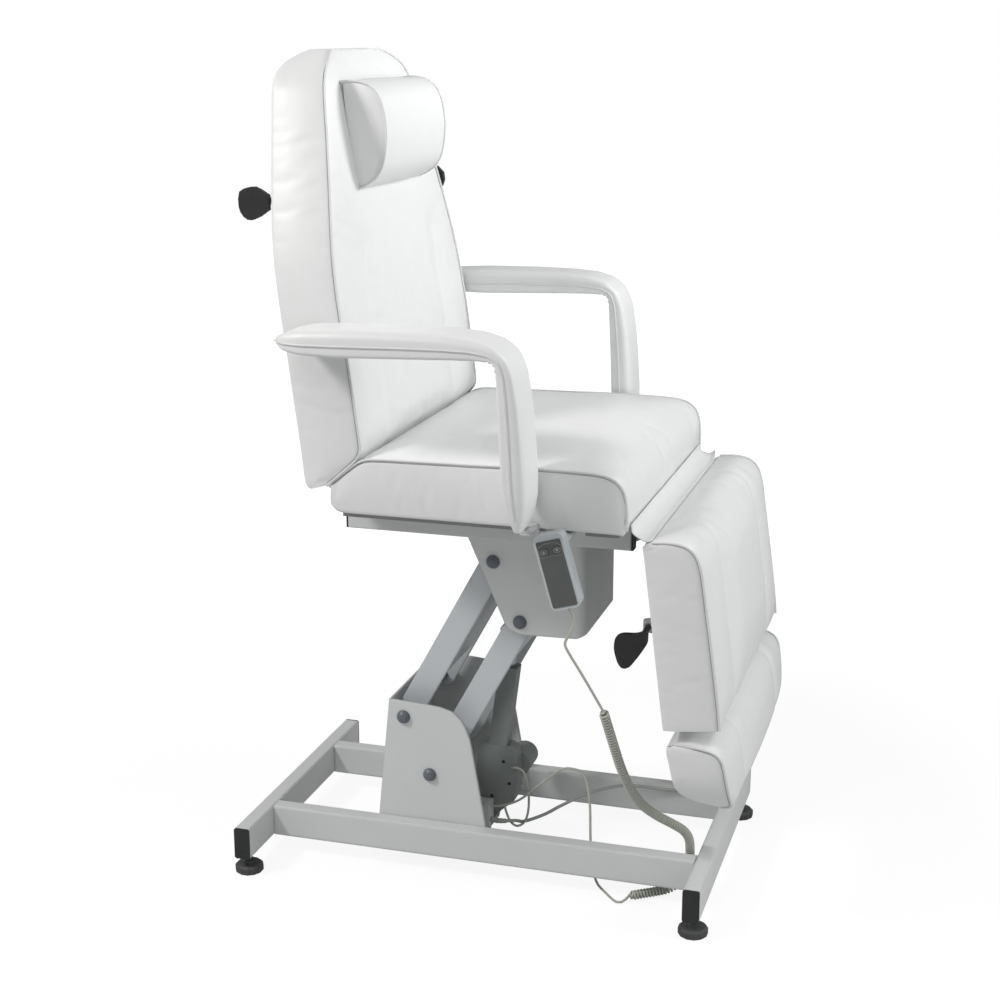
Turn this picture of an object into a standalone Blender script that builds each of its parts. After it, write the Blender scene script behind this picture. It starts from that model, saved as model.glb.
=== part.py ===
"""Facial bed: electric lift chair with a reclining back, a hinged leg rest and a sliding footrest.

Metres, +Z up, the chair faces +X and the patient's right hand is at -Y.
Lengths along X are given from the middle of the base; ORIGIN_X moves the finished pieces
so that the origin is under the middle of the whole chair.
"""

import math

import bmesh
import bpy
from mathutils import Matrix, Vector

# Frame and general sizes
ORIGIN_X = 0.0237
GAP = 0.0003
SHEET = 0.004

# Base of rectangular steel tube
TUBE_W = 0.030
TUBE_H = 0.060
TUBE_WALL = 0.002
TUBE_R = 0.004
BASE_HALF = 0.420
CROSS_HALF = 0.280
RAIL_Y = 0.1532
BASE_Z = 0.036
CAP_T = 0.003
FOOT_Y = 0.250
FOOT_R = 0.0265
FOOT_H = 0.016
STUD_R = 0.006

# Parallel lift
TOWER_PIN_UP = (-0.150, 0.295)
TOWER_PIN_LOW = (-0.100, 0.186)
ARM_LEN = 0.350
ARM_ANGLE = math.radians(61.5)
ARM_HALF_W = 0.097
ARM_HALF_D = 0.024
PIN_R = 0.009
PIN_PLAY = 0.0001
PIN_CAP_R = 0.0128
PIN_CAP_H = 0.011
BRACKET_HALF_W = 0.118
BRACKET_FRONT = 0.120
BRACKET_BEND = 0.018
UPPER_WEB = (0.100, 0.325)
LOWER_WEB = (0.276, 0.325)

# Lift actuator
ACT_PIVOT = (-0.026, 0.050)
ACT_PIN_R = 0.006
ACT_TOP_ALONG = 0.308
ACT_TOP_BACK = 0.022
ACT_TUBE_TOP = 0.318
ACT_TUBE_W = 0.035
ACT_TUBE_D = 0.033
ACT_BORE_R = 0.0101
ACT_ROD_R = 0.010
ACT_ROD_LOW = 0.256
ACT_EYE_R = 0.013
MOTOR_AT = (0.024, 0.158)
MOTOR_R = 0.0245
MOTOR_LEN = 0.064
FORK_Y = 0.0243

# Seat frame
SEAT_RAIL_Y = 0.1878
SEAT_RAIL_W = 0.025
SEAT_RAIL_H = 0.050
SEAT_RAIL_X = (-0.226, 0.286)
SEAT_FRAME_Z = 0.668
SIDE_PLATE = 0.006
BOARD_T = 0.009
SEAT_HALF_W = 0.318
BACK_HINGE = (-0.205, 0.693)
LEG_HINGE = (0.318, 0.704)
HINGE_R = 0.008
HINGE_PLATE_Y = 0.1605

# Armrests
ARMREST_Y = SEAT_HALF_W + 0.062
ARMREST_HALF_W = 0.049
ARMREST_PIN_X = 0.146
ARMREST_PIN_Y = SEAT_HALF_W + 0.040
ARMREST_PIN_R = 0.0055
ARMREST_LOW = 0.7425
ARM_PLATE_T = 0.006
ARM_RISER_Y = SEAT_HALF_W + 0.0085

# Hand control
HANDSET_AT = (0.203, 0.6768)
HANDSET_W = 0.051
HANDSET_L = 0.1265
HANDSET_TILT = math.radians(16.0)
HANDSET_Y = (-SEAT_HALF_W - 0.060, -SEAT_HALF_W - 0.034)
BUTTON_W = 0.015
BUTTON_L = 0.011
BUTTON_UP = 0.036
BUTTON_SIDE = 0.0115

# Leg and foot rest
LEG_LINE = (0.331, 0.700)
LEG_DIR = (0.1273, -0.9919)
LEG_BOARD_T = 0.010
LEG_BOARD_HALF_W = 0.260
SLIDE_Y = 0.100
SLIDE_R = 0.008
SLIDE_OFF = 0.0223

# Gas springs
GAS_Y = 0.150
GAS_R = 0.009
GAS_BORE_R = 0.0041
GAS_ROD_R = 0.004
BACK_GAS_FIX = (0.005, 0.643)
BACK_LEVER = (-0.205, 0.638)
LEG_GAS_FIX = (0.060, 0.654)
SUBFRAME_PLATE_END = 0.160
LEG_LEVER = (0.306, 0.646)
BACK_GAS_BODY = 0.128
BACK_ROD_LOW = 0.094
LEG_GAS_BODY = 0.160
LEG_ROD_LOW = 0.050

# Release bar of the back
RELEASE_AT = (-0.340, 1.241)
RELEASE_R = 0.006
PADDLE_AT = (0.331, 0.558)
PADDLE_SPINDLE_R = 0.0045

# Cords
CORD_R = 0.002
CURL_R = 0.006
CURL_COUNT = 21
CURL_POINTS = 8
MAINS_R = 0.0032
COIL_LOOPS = 5
COIL_POINTS = 12
COIL_R = 0.0192
COIL_RISE = 0.0072
COIL_X = (0.348, 0.408)

MATERIALS = {
    "white_vinyl": ((0.82, 0.83, 0.84), 0.45, 0.0),
    "grey_powder_coat": ((0.42, 0.43, 0.43), 0.50, 0.3),
    "black_plastic": ((0.02, 0.02, 0.02), 0.45, 0.0),
    "dark_rubber": ((0.08, 0.08, 0.08), 0.70, 0.0),
    "cap_plastic": ((0.16, 0.17, 0.20), 0.40, 0.0),
    "zinc_steel": ((0.55, 0.56, 0.57), 0.35, 0.9),
    "actuator_plastic": ((0.16, 0.18, 0.18), 0.50, 0.0),
    "handset_plastic": ((0.62, 0.65, 0.66), 0.45, 0.0),
    "membrane": ((0.09, 0.09, 0.09), 0.50, 0.0),
    "button_film": ((0.75, 0.76, 0.76), 0.50, 0.0),
    "cord_jacket": ((0.38, 0.40, 0.35), 0.55, 0.0),
    "plywood": ((0.30, 0.30, 0.29), 0.60, 0.0),
}


def clear_scene():
    for item in list(bpy.data.objects):
        bpy.data.objects.remove(item, do_unlink=True)


def material(name):
    found = bpy.data.materials.get(name)
    if found:
        return found
    rgb, rough, metal = MATERIALS[name]
    made = bpy.data.materials.new(name)
    made.use_nodes = True
    shader = made.node_tree.nodes["Principled BSDF"]
    shader.inputs["Base Color"].default_value = (*rgb, 1.0)
    shader.inputs["Roughness"].default_value = rough
    shader.inputs["Metallic"].default_value = metal
    return made


def mesh_from(verts, faces):
    """Closed mesh with outward faces."""
    bm = bmesh.new()
    made = [bm.verts.new(v) for v in verts]
    for face in faces:
        bm.faces.new([made[i] for i in face])
    bmesh.ops.remove_doubles(bm, verts=bm.verts, dist=1e-6)
    bmesh.ops.recalc_face_normals(bm, faces=bm.faces)
    mesh = bpy.data.meshes.new("solid")
    bm.to_mesh(mesh)
    bm.free()
    return mesh


def middle_of(mesh):
    spans = [[v.co[k] for v in mesh.vertices] for k in range(3)]
    return Vector([(min(span) + max(span)) / 2 for span in spans])


def place(name, mesh, mat):
    """Named object with its origin on its joint, or in its own middle when it is fixed."""
    at = Vector(joint_points().get(name) or middle_of(mesh))
    mesh.transform(Matrix.Translation(-at))
    mesh.name = name
    mesh.materials.clear()
    mesh.materials.append(material(mat))
    item = bpy.data.objects.new(name, mesh)
    item.location = at - Vector((ORIGIN_X, 0.0, 0.0))
    bpy.context.scene.collection.objects.link(item)
    return item


def combine(joined, cut=()):
    """One mesh from solids joined together and cutters taken away."""
    solids = [bpy.data.objects.new("work", mesh) for mesh in list(joined) + list(cut)]
    for item in solids:
        bpy.context.scene.collection.objects.link(item)
    main = solids[0]
    for index, other in enumerate(solids[1:], 1):
        step = main.modifiers.new("join", "BOOLEAN")
        step.operation = "UNION" if index < len(joined) else "DIFFERENCE"
        step.solver = "EXACT"
        step.object = other
    graph = bpy.context.evaluated_depsgraph_get()
    result = bpy.data.meshes.new_from_object(main.evaluated_get(graph))
    for item in solids:
        bpy.data.objects.remove(item, do_unlink=True)
    bm = bmesh.new()
    bm.from_mesh(result)
    bmesh.ops.remove_doubles(bm, verts=bm.verts, dist=1e-6)
    bmesh.ops.dissolve_degenerate(bm, edges=bm.edges, dist=1e-6)
    bm.to_mesh(result)
    bm.free()
    return result


def on_plane(plane, a, b, c):
    """Point with in-plane coordinates a, b and depth c."""
    if plane == "xz":
        return (a, c, b)
    if plane == "yz":
        return (c, a, b)
    return (a, b, c)


def prism(profile, plane, low, high):
    """Profile pushed from depth low to depth high."""
    count = len(profile)
    verts = [on_plane(plane, a, b, low) for a, b in profile]
    verts += [on_plane(plane, a, b, high) for a, b in profile]
    faces = [list(range(count)), list(range(count, 2 * count))]
    for i in range(count):
        j = (i + 1) % count
        faces.append([i, j, count + j, count + i])
    return mesh_from(verts, faces)


def pipe_prism(outer, inner, plane, low, high):
    """Open-ended tube between two profiles with the same number of points."""
    count = len(outer)
    verts = []
    for depth in (low, high):
        verts += [on_plane(plane, a, b, depth) for a, b in outer]
        verts += [on_plane(plane, a, b, depth) for a, b in inner]
    faces = []
    far = 2 * count
    for i in range(count):
        j = (i + 1) % count
        faces.append([i, j, far + j, far + i])
        faces.append([count + i, count + j, far + count + j, far + count + i])
        faces.append([i, j, count + j, count + i])
        faces.append([far + i, far + j, far + count + j, far + count + i])
    return mesh_from(verts, faces)


def box(low, high):
    profile = [(low[0], low[1]), (high[0], low[1]), (high[0], high[1]), (low[0], high[1])]
    return prism(profile, "xy", low[2], high[2])


def rounded_rect(width, height, radius, centre=(0.0, 0.0), steps=3):
    points = []
    corners = ((1, 1, 0), (-1, 1, 90), (-1, -1, 180), (1, -1, 270))
    for sx, sy, start in corners:
        for k in range(steps + 1):
            angle = math.radians(start + 90.0 * k / steps)
            x = centre[0] + sx * (width / 2 - radius) + radius * math.cos(angle)
            y = centre[1] + sy * (height / 2 - radius) + radius * math.sin(angle)
            points.append((x, y))
    return points


def disc(centre, radius, steps=24):
    turn = 2 * math.pi / steps
    return [(centre[0] + radius * math.cos(k * turn),
            centre[1] + radius * math.sin(k * turn)) for k in range(steps)]


def arc(centre, radius, start, end, steps=6):
    """Points on part of a circle, with angles in degrees."""
    turns = [math.radians(start + (end - start) * k / steps) for k in range(steps + 1)]
    return [(centre[0] + radius * math.cos(a), centre[1] + radius * math.sin(a)) for a in turns]


def round_outline(points, steps=3):
    """Smooth closed outline through hand-set points."""
    count = len(points)
    result = []
    for i in range(count):
        a, b, c, d = (Vector(points[(i + k) % count]) for k in (-1, 0, 1, 2))
        for k in range(steps):
            t = k / steps
            square = (2 * a - 5 * b + 4 * c - d) * t * t
            cube = (3 * b - a - 3 * c + d) * t ** 3
            spot = (2 * b + (c - a) * t + square + cube) * 0.5
            result.append((spot.x, spot.y))
    return result


def cylinder(centre, radius, plane, low, high, steps=24):
    return prism(disc(centre, radius, steps), plane, low, high)


def revolve(profile, origin, axis, steps=24):
    """Profile of (radius, height) points turned about an axis through origin."""
    axis = Vector(axis).normalized()
    side = axis.orthogonal().normalized()
    other = axis.cross(side)
    verts = []
    for k in range(steps):
        angle = 2 * math.pi * k / steps
        out = side * math.cos(angle) + other * math.sin(angle)
        verts += [Vector(origin) + axis * h + out * r for r, h in profile]
    count = len(profile)
    faces = []
    for k in range(steps):
        for i in range(count - 1):
            j = i + 1
            a, b = k * count + i, k * count + j
            c, d = ((k + 1) % steps) * count + j, ((k + 1) % steps) * count + i
            face = [a, b, c, d]
            if profile[i][0] == 0.0:
                face = [a, b, c]
            if profile[j][0] == 0.0:
                face = [a, b, d]
            faces.append(face)
    return mesh_from(verts, faces)


def chain_normal(chain, i, inside):
    """Unit normal of a chain of points, pointing away from the inside point."""
    before = Vector(chain[max(i - 1, 0)])
    after = Vector(chain[min(i + 1, len(chain) - 1)])
    along = (after - before).normalized()
    normal = Vector((-along.y, along.x))
    if normal.dot(Vector(chain[i]) - Vector(inside)) < 0:
        normal.negate()
    return normal


def cushion(stations, across, centre_y=0.0, bulge=0.003, channels=(), deep=0.014):
    """Padded slab lofted through stations (front x, z, back x, z, half width, crown, channel share)."""
    front = [(s[0], s[1]) for s in stations]
    back = [(s[2], s[3]) for s in stations]
    shares = [-a for a in reversed(across) if a] + list(across)
    side = (0.3, 0.7)
    rings = []
    for i, (fx, fz, bx, bz, half, crown, channel) in enumerate(stations):
        normal = chain_normal(front, i, back[i])
        ring = []
        for share in shares:
            y = share * half
            lift = crown * (1 - abs(share) ** 2.4)
            for at in channels:
                lift -= channel * min(lift, deep) * math.exp(-(((abs(y) - at) / 0.016) ** 2))
            ring.append((fx + normal.x * lift, centre_y + y, fz + normal.y * lift))
        for f in side:
            y = half + bulge * math.sin(math.pi * f)
            ring.append((fx + (bx - fx) * f, centre_y + y, fz + (bz - fz) * f))
        for share in reversed(shares):
            ring.append((bx, centre_y + share * half, bz))
        for f in reversed(side):
            y = half + bulge * math.sin(math.pi * f)
            ring.append((fx + (bx - fx) * f, centre_y - y, fz + (bz - fz) * f))
        rings.append(ring)
    return loft(rings, len(shares), len(side))


def loft(rings, row, side):
    """Closed skin over rings, each made of a front row, a side, a back row and a side."""
    count = len(rings[0])
    verts = [v for ring in rings for v in ring]
    faces = []
    for i in range(len(rings) - 1):
        for k in range(count):
            j = (k + 1) % count
            faces.append([i * count + k, i * count + j, (i + 1) * count + j, (i + 1) * count + k])
    for start in (0, (len(rings) - 1) * count):
        for k in range(row - 1):
            low = start + 2 * row + side - 1 - k
            faces.append([start + k, start + k + 1, low - 1, low])
        faces.append([start + row - 1 + k for k in range(side + 2)])
        faces.append([start + 2 * row + side - 1 + k for k in range(side + 1)] + [start])
    return mesh_from(verts, faces)


def smooth_path(points, count):
    """Evenly spaced points on a smooth curve through hand-set points."""
    pts = [Vector(p) for p in points]
    pts = [pts[0] * 2 - pts[1]] + pts + [pts[-1] * 2 - pts[-2]]
    fine = []
    for i in range(1, len(pts) - 2):
        p0, p1, p2, p3 = pts[i - 1:i + 3]
        for k in range(24):
            t = k / 24
            fine.append(0.5 * (2 * p1 + (p2 - p0) * t + (2 * p0 - 5 * p1 + 4 * p2 - p3) * t * t
                               + (3 * p1 - p0 - 3 * p2 + p3) * t ** 3))
    fine.append(pts[-2])
    return even_points(fine, count)


def even_points(fine, count):
    lengths = [0.0]
    for a, b in zip(fine, fine[1:]):
        lengths.append(lengths[-1] + (b - a).length)
    result = []
    k = 0
    for i in range(count):
        want = lengths[-1] * i / (count - 1)
        while k < len(fine) - 2 and lengths[k + 1] < want:
            k += 1
        span = lengths[k + 1] - lengths[k]
        share = (want - lengths[k]) / span if span else 0.0
        result.append(fine[k].lerp(fine[k + 1], share))
    return result


def path_length(points):
    return sum((b - a).length for a, b in zip(points, points[1:]))


def cord(name, points, radius, mat, resolution):
    """Solid round cord through points, with flat ends."""
    data = bpy.data.curves.new(name, "CURVE")
    data.dimensions = "3D"
    data.bevel_depth = radius
    data.bevel_resolution = resolution
    data.use_fill_caps = True
    line = data.splines.new("POLY")
    line.points.add(len(points) - 1)
    for slot, p in zip(line.points, points):
        slot.co = (p[0] - ORIGIN_X, p[1], p[2], 1.0)
    data.materials.append(material(mat))
    item = bpy.data.objects.new(name, data)
    bpy.context.scene.collection.objects.link(item)
    return item


def mirror_y(mesh):
    mesh.transform(Matrix.Scale(-1.0, 4, (0.0, 1.0, 0.0)))
    mesh.flip_normals()
    return mesh


def add_pair(name, build, mat):
    """Right-hand piece and its mirror on the left."""
    place(name + "_right", build(), mat)
    place(name + "_left", mirror_y(build()), mat)


def arm_point(pivot, along, front):
    """Point measured along a lift arm from its lower pivot and towards its front."""
    c, s = math.cos(ARM_ANGLE), math.sin(ARM_ANGLE)
    return (pivot[0] + along * c + front * s, pivot[1] + along * s - front * c)


def seat_pin(pivot):
    return arm_point(pivot, ARM_LEN, 0.0)


def leg_point(along, front):
    tx, tz = LEG_DIR
    return (LEG_LINE[0] + along * tx - front * tz, LEG_LINE[1] + along * tz + front * tx)


def actuator_frame():
    top = arm_point(TOWER_PIN_LOW, ACT_TOP_ALONG, -ACT_TOP_BACK)
    run = Vector(top) - Vector(ACT_PIVOT)
    return run.length, run.normalized()


def act_point(along, front):
    _, e = actuator_frame()
    return (ACT_PIVOT[0] + along * e.x + front * e.y, ACT_PIVOT[1] + along * e.y - front * e.x)


def joint_points():
    """Points on the joint axes, which the origins of the moving pieces sit on."""
    length, _ = actuator_frame()
    flat = {"upper_arm": TOWER_PIN_UP, "lower_arm": TOWER_PIN_LOW, "seat_bracket": seat_pin(TOWER_PIN_LOW)}
    flat.update({"actuator_body": ACT_PIVOT, "actuator_rod": act_point(length, 0.0)})
    flat.update({"back_frame": BACK_HINGE, "leg_frame": LEG_HINGE,
                "foot_frame": leg_point(0.238, -SLIDE_OFF)})
    flat.update({"back_release_bar": RELEASE_AT, "leg_release_paddle": PADDLE_AT})
    flat.update({"back_gas_cylinder": BACK_GAS_FIX, "back_gas_rod": BACK_LEVER})
    flat.update({"leg_gas_cylinder": LEG_GAS_FIX, "leg_gas_rod": LEG_LEVER})
    points = {name: (x, 0.0, z) for name, (x, z) in flat.items()}
    points["armrest_right"] = (ARMREST_PIN_X, -ARMREST_PIN_Y, ARMREST_LOW)
    points["armrest_left"] = (ARMREST_PIN_X, ARMREST_PIN_Y, ARMREST_LOW)
    return points


CARRIED = {
    "base_rail_right": ("base_", "foot_front", "foot_rear", "lift_tower", "tower_pin", "actuator_mount",
                        "upper_arm", "lower_arm",
                        "actuator_body", "handset_cord", "mains_"),
    "lower_arm": ("seat_bracket",),
    "seat_bracket": ("seat_", "arm_bracket", "armrest", "handset_case", "handset_panel", "button_",
                     "hinge_flap",
                     "back_frame", "leg_frame", "back_gas_cylinder", "leg_gas_cylinder"),
    "back_frame": ("back_cushion", "head_pillow", "back_release_bar"),
    "leg_frame": ("leg_cushion", "leg_release_paddle", "foot_frame"),
    "foot_frame": ("foot_cushion",),
    "back_gas_cylinder": ("back_gas_rod",),
    "leg_gas_cylinder": ("leg_gas_rod",),
    "actuator_body": ("actuator_motor", "actuator_rod", "motor_lead"),
}


def parent_pieces():
    """Each piece follows the piece that carries it."""
    for holder, starts in CARRIED.items():
        lead = bpy.data.objects[holder]
        for item in bpy.data.objects:
            if item != lead and item.parent is None and item.name.startswith(starts):
                item.parent = lead
                item.matrix_parent_inverse = Matrix.Translation(-lead.location)


def build_base_tubes():
    middle = BASE_Z + TUBE_H / 2
    for name, x in (("base_cross_rear", -BASE_HALF), ("base_cross_front", BASE_HALF)):
        outer = rounded_rect(TUBE_W, TUBE_H, TUBE_R, (x, middle))
        inner = rounded_rect(TUBE_W - 2 * TUBE_WALL, TUBE_H - 2 * TUBE_WALL, TUBE_R / 2, (x, middle))
        end = CROSS_HALF - CAP_T - GAP
        place(name, pipe_prism(outer, inner, "xz", -end, end), "grey_powder_coat")
    reach = BASE_HALF - TUBE_W / 2 - GAP

    def rail():
        outer = rounded_rect(TUBE_W, TUBE_H, TUBE_R, (-RAIL_Y, middle))
        inner = rounded_rect(TUBE_W - 2 * TUBE_WALL, TUBE_H - 2 * TUBE_WALL, TUBE_R / 2, (-RAIL_Y, middle))
        return pipe_prism(outer, inner, "yz", -reach, reach)

    add_pair("base_rail", rail, "grey_powder_coat")


def build_base_caps():
    for name, x in (("rear", -BASE_HALF), ("front", BASE_HALF)):
        def end_cap():
            outline = rounded_rect(TUBE_W, TUBE_H, TUBE_R, (x, BASE_Z + TUBE_H / 2))
            return prism(outline, "xz", -CROSS_HALF, -CROSS_HALF + CAP_T)

        add_pair("base_cap_" + name, end_cap, "black_plastic")


def build_feet():
    top = BASE_Z - GAP
    profile = [(0.0, 0.0), (FOOT_R - 0.002, 0.0), (FOOT_R, 0.002), (FOOT_R, FOOT_H - 0.004)]
    profile += [(FOOT_R - 0.004, FOOT_H), (STUD_R + 0.006, FOOT_H), (STUD_R + 0.006, FOOT_H + 0.006)]
    profile += [(STUD_R, FOOT_H + 0.006), (STUD_R, top), (0.0, top)]
    for name, x in (("rear", -BASE_HALF), ("front", BASE_HALF)):
        for side, y in (("right", -FOOT_Y), ("left", FOOT_Y)):
            place("foot_%s_%s" % (name, side), revolve(profile, (x, y, 0.0), (0, 0, 1), 12), "dark_rubber")


def build_tower():
    outer = RAIL_Y - TUBE_W / 2 - GAP
    inner = outer - SHEET
    side = [(-0.206, 0.050), (0.0155, 0.050), (0.008, 0.095), (-0.0215, 0.263), (-0.031, 0.287)]
    side += [(-0.040, 0.301), (-0.056, 0.3145), (-0.078, 0.3205), (-0.100, 0.3225), (-0.178, 0.327)]
    wall = [(-0.206, 0.050), (-0.202, 0.050), (-0.174, 0.327), (-0.178, 0.327)]
    parts = [prism(side, "xz", -outer, -inner), prism(side, "xz", inner, outer)]
    parts.append(prism(wall, "xz", -outer, outer))
    bore = PIN_R + PIN_PLAY
    cuts = [cylinder(pin, bore, "xz", -outer - 0.01, outer + 0.01) for pin in (TOWER_PIN_UP, TOWER_PIN_LOW)]
    place("lift_tower", combine(parts, cuts), "grey_powder_coat")


def pin_profile(half):
    end = half + PIN_CAP_H
    half_side = [(0.0, end), (0.007, end - 0.0012), (0.0112, end - 0.005)]
    half_side += [(PIN_CAP_R, end - 0.0095), (PIN_CAP_R, half + GAP), (PIN_R, half + GAP)]
    return half_side + [(r, -h) for r, h in reversed(half_side)]


def build_pins():
    tower = RAIL_Y - TUBE_W / 2 - GAP
    for name, pivot in (("upper", TOWER_PIN_UP), ("lower", TOWER_PIN_LOW)):
        low = revolve(pin_profile(tower), (pivot[0], 0.0, pivot[1]), (0, 1, 0), 16)
        place("tower_pin_" + name, low, "cap_plastic")
        top = seat_pin(pivot)
        high = revolve(pin_profile(BRACKET_HALF_W), (top[0], 0.0, top[1]), (0, 1, 0), 16)
        place("seat_pin_" + name, high, "cap_plastic")


def arm_side(pivot):
    """Long plate with round ends about both pivots."""
    points = []
    for k in range(9):
        angle = math.pi * k / 8
        points.append(arm_point(pivot, ARM_LEN + ARM_HALF_D * math.sin(angle),
                      ARM_HALF_D * math.cos(angle)))
    for k in range(9):
        angle = math.pi + math.pi * k / 8
        points.append(arm_point(pivot, ARM_HALF_D * math.sin(angle), ARM_HALF_D * math.cos(angle)))
    return points


def build_arms():
    bore = PIN_R + PIN_PLAY
    inner = ARM_HALF_W - SHEET
    for name, pivot, web in (("upper_arm", TOWER_PIN_UP, UPPER_WEB),
                             ("lower_arm", TOWER_PIN_LOW, LOWER_WEB)):
        plate = arm_side(pivot)
        strip = [(web[0], ARM_HALF_D - SHEET - 0.001), (web[1], ARM_HALF_D - SHEET - 0.001)]
        strip += [(web[1], ARM_HALF_D - 0.001), (web[0], ARM_HALF_D - 0.001)]
        strip = [arm_point(pivot, a, f) for a, f in strip]
        parts = [prism(plate, "xz", -ARM_HALF_W, -inner), prism(plate, "xz", inner, ARM_HALF_W)]
        parts.append(prism(strip, "xz", -ARM_HALF_W + 0.001, ARM_HALF_W - 0.001))
        reach = ARM_HALF_W + 0.01
        cuts = [cylinder(at, bore, "xz", -reach, reach) for at in (pivot, seat_pin(pivot))]
        place(name, combine(parts, cuts), "grey_powder_coat")


def build_actuator_mount():
    side = RAIL_Y - TUBE_W / 2 - GAP
    x, z = ACT_PIVOT
    parts = [box((x - 0.056, -side, BASE_Z), (x - 0.018, side, BASE_Z + 0.006))]
    fork = [(x - 0.050, BASE_Z + 0.003), (x + 0.010, BASE_Z + 0.003), (x + 0.014, z + 0.010),
            (x - 0.014, z + 0.010)]
    for sign in (-1, 1):
        ends = sorted((sign * FORK_Y, sign * (FORK_Y + 0.006)))
        parts.append(prism(fork, "xz", ends[0], ends[1]))
    parts.append(cylinder(ACT_PIVOT, ACT_PIN_R, "xz", -FORK_Y - 0.003, FORK_Y + 0.003))
    parts.append(box((x - 0.010, -0.058, z + 0.004), (x + 0.016, -FORK_Y - 0.003, z + 0.052)))
    place("actuator_mount", combine(parts), "grey_powder_coat")


def build_actuator():
    length, e = actuator_frame()
    housing = [(0.012, -0.014), (0.036, -0.022), (0.090, -0.033), (0.143, -0.035), (0.157, -0.026)]
    housing += [(0.160, 0.022), (0.155, 0.036), (0.100, 0.050), (0.055, 0.048), (0.030, 0.026),
                (0.012, 0.014)]
    half = ACT_TUBE_W / 2
    tube = [(0.150, -half), (ACT_TUBE_TOP, -half), (ACT_TUBE_TOP, half), (0.150, half)]
    parts = [prism([act_point(a, f) for a, f in housing], "xz", -0.0225, 0.0195)]
    parts.append(prism([act_point(a, f) for a, f in tube], "xz", -ACT_TUBE_D / 2, ACT_TUBE_D / 2))
    parts.append(cylinder(ACT_PIVOT, 0.013, "xz", -0.018, 0.018))
    lug = [(0.0, -0.011), (0.030, -0.011), (0.030, 0.011), (0.0, 0.011)]
    parts.append(prism([act_point(a, f) for a, f in lug], "xz", -0.018, 0.018))
    low = act_point(0.166, 0.0)
    bore = revolve([(0.0, 0.0), (ACT_BORE_R, 0.0), (ACT_BORE_R, 0.2), (0.0, 0.2)],
                   (low[0], 0.0, low[1]), (e.x, 0.0, e.y))
    cuts = [bore, cylinder(ACT_PIVOT, ACT_PIN_R + PIN_PLAY, "xz", -0.03, 0.03)]
    place("actuator_body", combine(parts, cuts), "actuator_plastic")
    motor = [(0.0, 0.0), (MOTOR_R, 0.0), (MOTOR_R, MOTOR_LEN - 0.006), (MOTOR_R - 0.004, MOTOR_LEN)]
    motor.append((0.0, MOTOR_LEN))
    place("actuator_motor", revolve(motor, (MOTOR_AT[0], 0.0195 + GAP, MOTOR_AT[1]), (0, 1, 0)),
          "actuator_plastic")
    build_actuator_rod(length, e)


def build_actuator_rod(length, e):
    low = act_point(ACT_ROD_LOW, 0.0)
    top = act_point(length, 0.0)
    run = length - ACT_ROD_LOW
    rod = [(0.0, 0.0), (ACT_ROD_R, 0.0), (ACT_ROD_R, run), (0.0, run)]
    stub = ARM_HALF_W - SHEET - 0.0025
    parts = [revolve(rod, (low[0], 0.0, low[1]), (e.x, 0.0, e.y)), cylinder(top, ACT_EYE_R, "xz",
             -0.011, 0.011)]
    parts.append(cylinder(top, 0.006, "xz", -stub, stub))
    place("actuator_rod", combine(parts), "zinc_steel")


def build_seat_bracket():
    """Sheet bent to a U in plan, with the outline of its sides cut away."""
    top = SEAT_FRAME_Z + 0.004 - GAP
    half = BRACKET_HALF_W
    ux, uz = seat_pin(TOWER_PIN_UP)
    lx, lz = seat_pin(TOWER_PIN_LOW)
    front = lx + BRACKET_FRONT
    rear = ux - 0.072
    low = lz - 0.030
    far = (front - BRACKET_BEND, half - BRACKET_BEND)
    near = (far[0], -far[1])
    plan = [(rear, -half)] + arc(near, BRACKET_BEND, -90, 0) + arc(far, BRACKET_BEND, 0, 90)
    plan += [(rear, half), (rear, half - SHEET)]
    plan += arc(far, BRACKET_BEND - SHEET, 90, 0) + arc(near, BRACKET_BEND - SHEET, 0, -90)
    plan.append((rear, SHEET - half))
    past = 0.01
    lean = 0.013 / (top - uz - 0.0394)
    waste = [(rear - past, top + past), (ux - 0.059 - lean * past, top + past)]
    waste += [(ux - 0.046, uz + 0.0394), (ux - 0.026, uz - 0.0056), (lx - 0.029, lz - 0.0036)]
    waste += [(lx - 0.021, lz - 0.0146), (lx - 0.003, lz - 0.0231), (lx + 0.015, lz - 0.0236)]
    waste += [(front - 0.015, lz - 0.0216), (front + past, lz - 0.0124), (front + past, low - past)]
    waste.append((rear - past, low - past))
    reach = half + past
    pins = (seat_pin(TOWER_PIN_UP), seat_pin(TOWER_PIN_LOW))
    cuts = [prism(waste, "xz", -reach, reach)]
    cuts += [cylinder(pin, PIN_R + PIN_PLAY, "xz", -reach, reach) for pin in pins]
    place("seat_bracket", combine([prism(plan, "xy", low, top)], cuts), "grey_powder_coat")


def build_seat_rails():
    middle = SEAT_FRAME_Z + SEAT_RAIL_H / 2

    def rail():
        outer = rounded_rect(SEAT_RAIL_W, SEAT_RAIL_H, 0.003, (-SEAT_RAIL_Y, middle))
        inner = rounded_rect(SEAT_RAIL_W - 0.004, SEAT_RAIL_H - 0.004, 0.0015, (-SEAT_RAIL_Y, middle))
        return pipe_prism(outer, inner, "yz", SEAT_RAIL_X[0], SEAT_RAIL_X[1])

    add_pair("seat_rail", rail, "grey_powder_coat")
    for name, x in (("rear", SEAT_RAIL_X[0] - CAP_T - GAP), ("front", SEAT_RAIL_X[1] + GAP)):
        def end_cap():
            outline = rounded_rect(SEAT_RAIL_W, SEAT_RAIL_H, 0.003, (-SEAT_RAIL_Y, middle))
            return prism(outline, "yz", x, x + CAP_T)

        add_pair("seat_cap_" + name, end_cap, "black_plastic")


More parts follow.
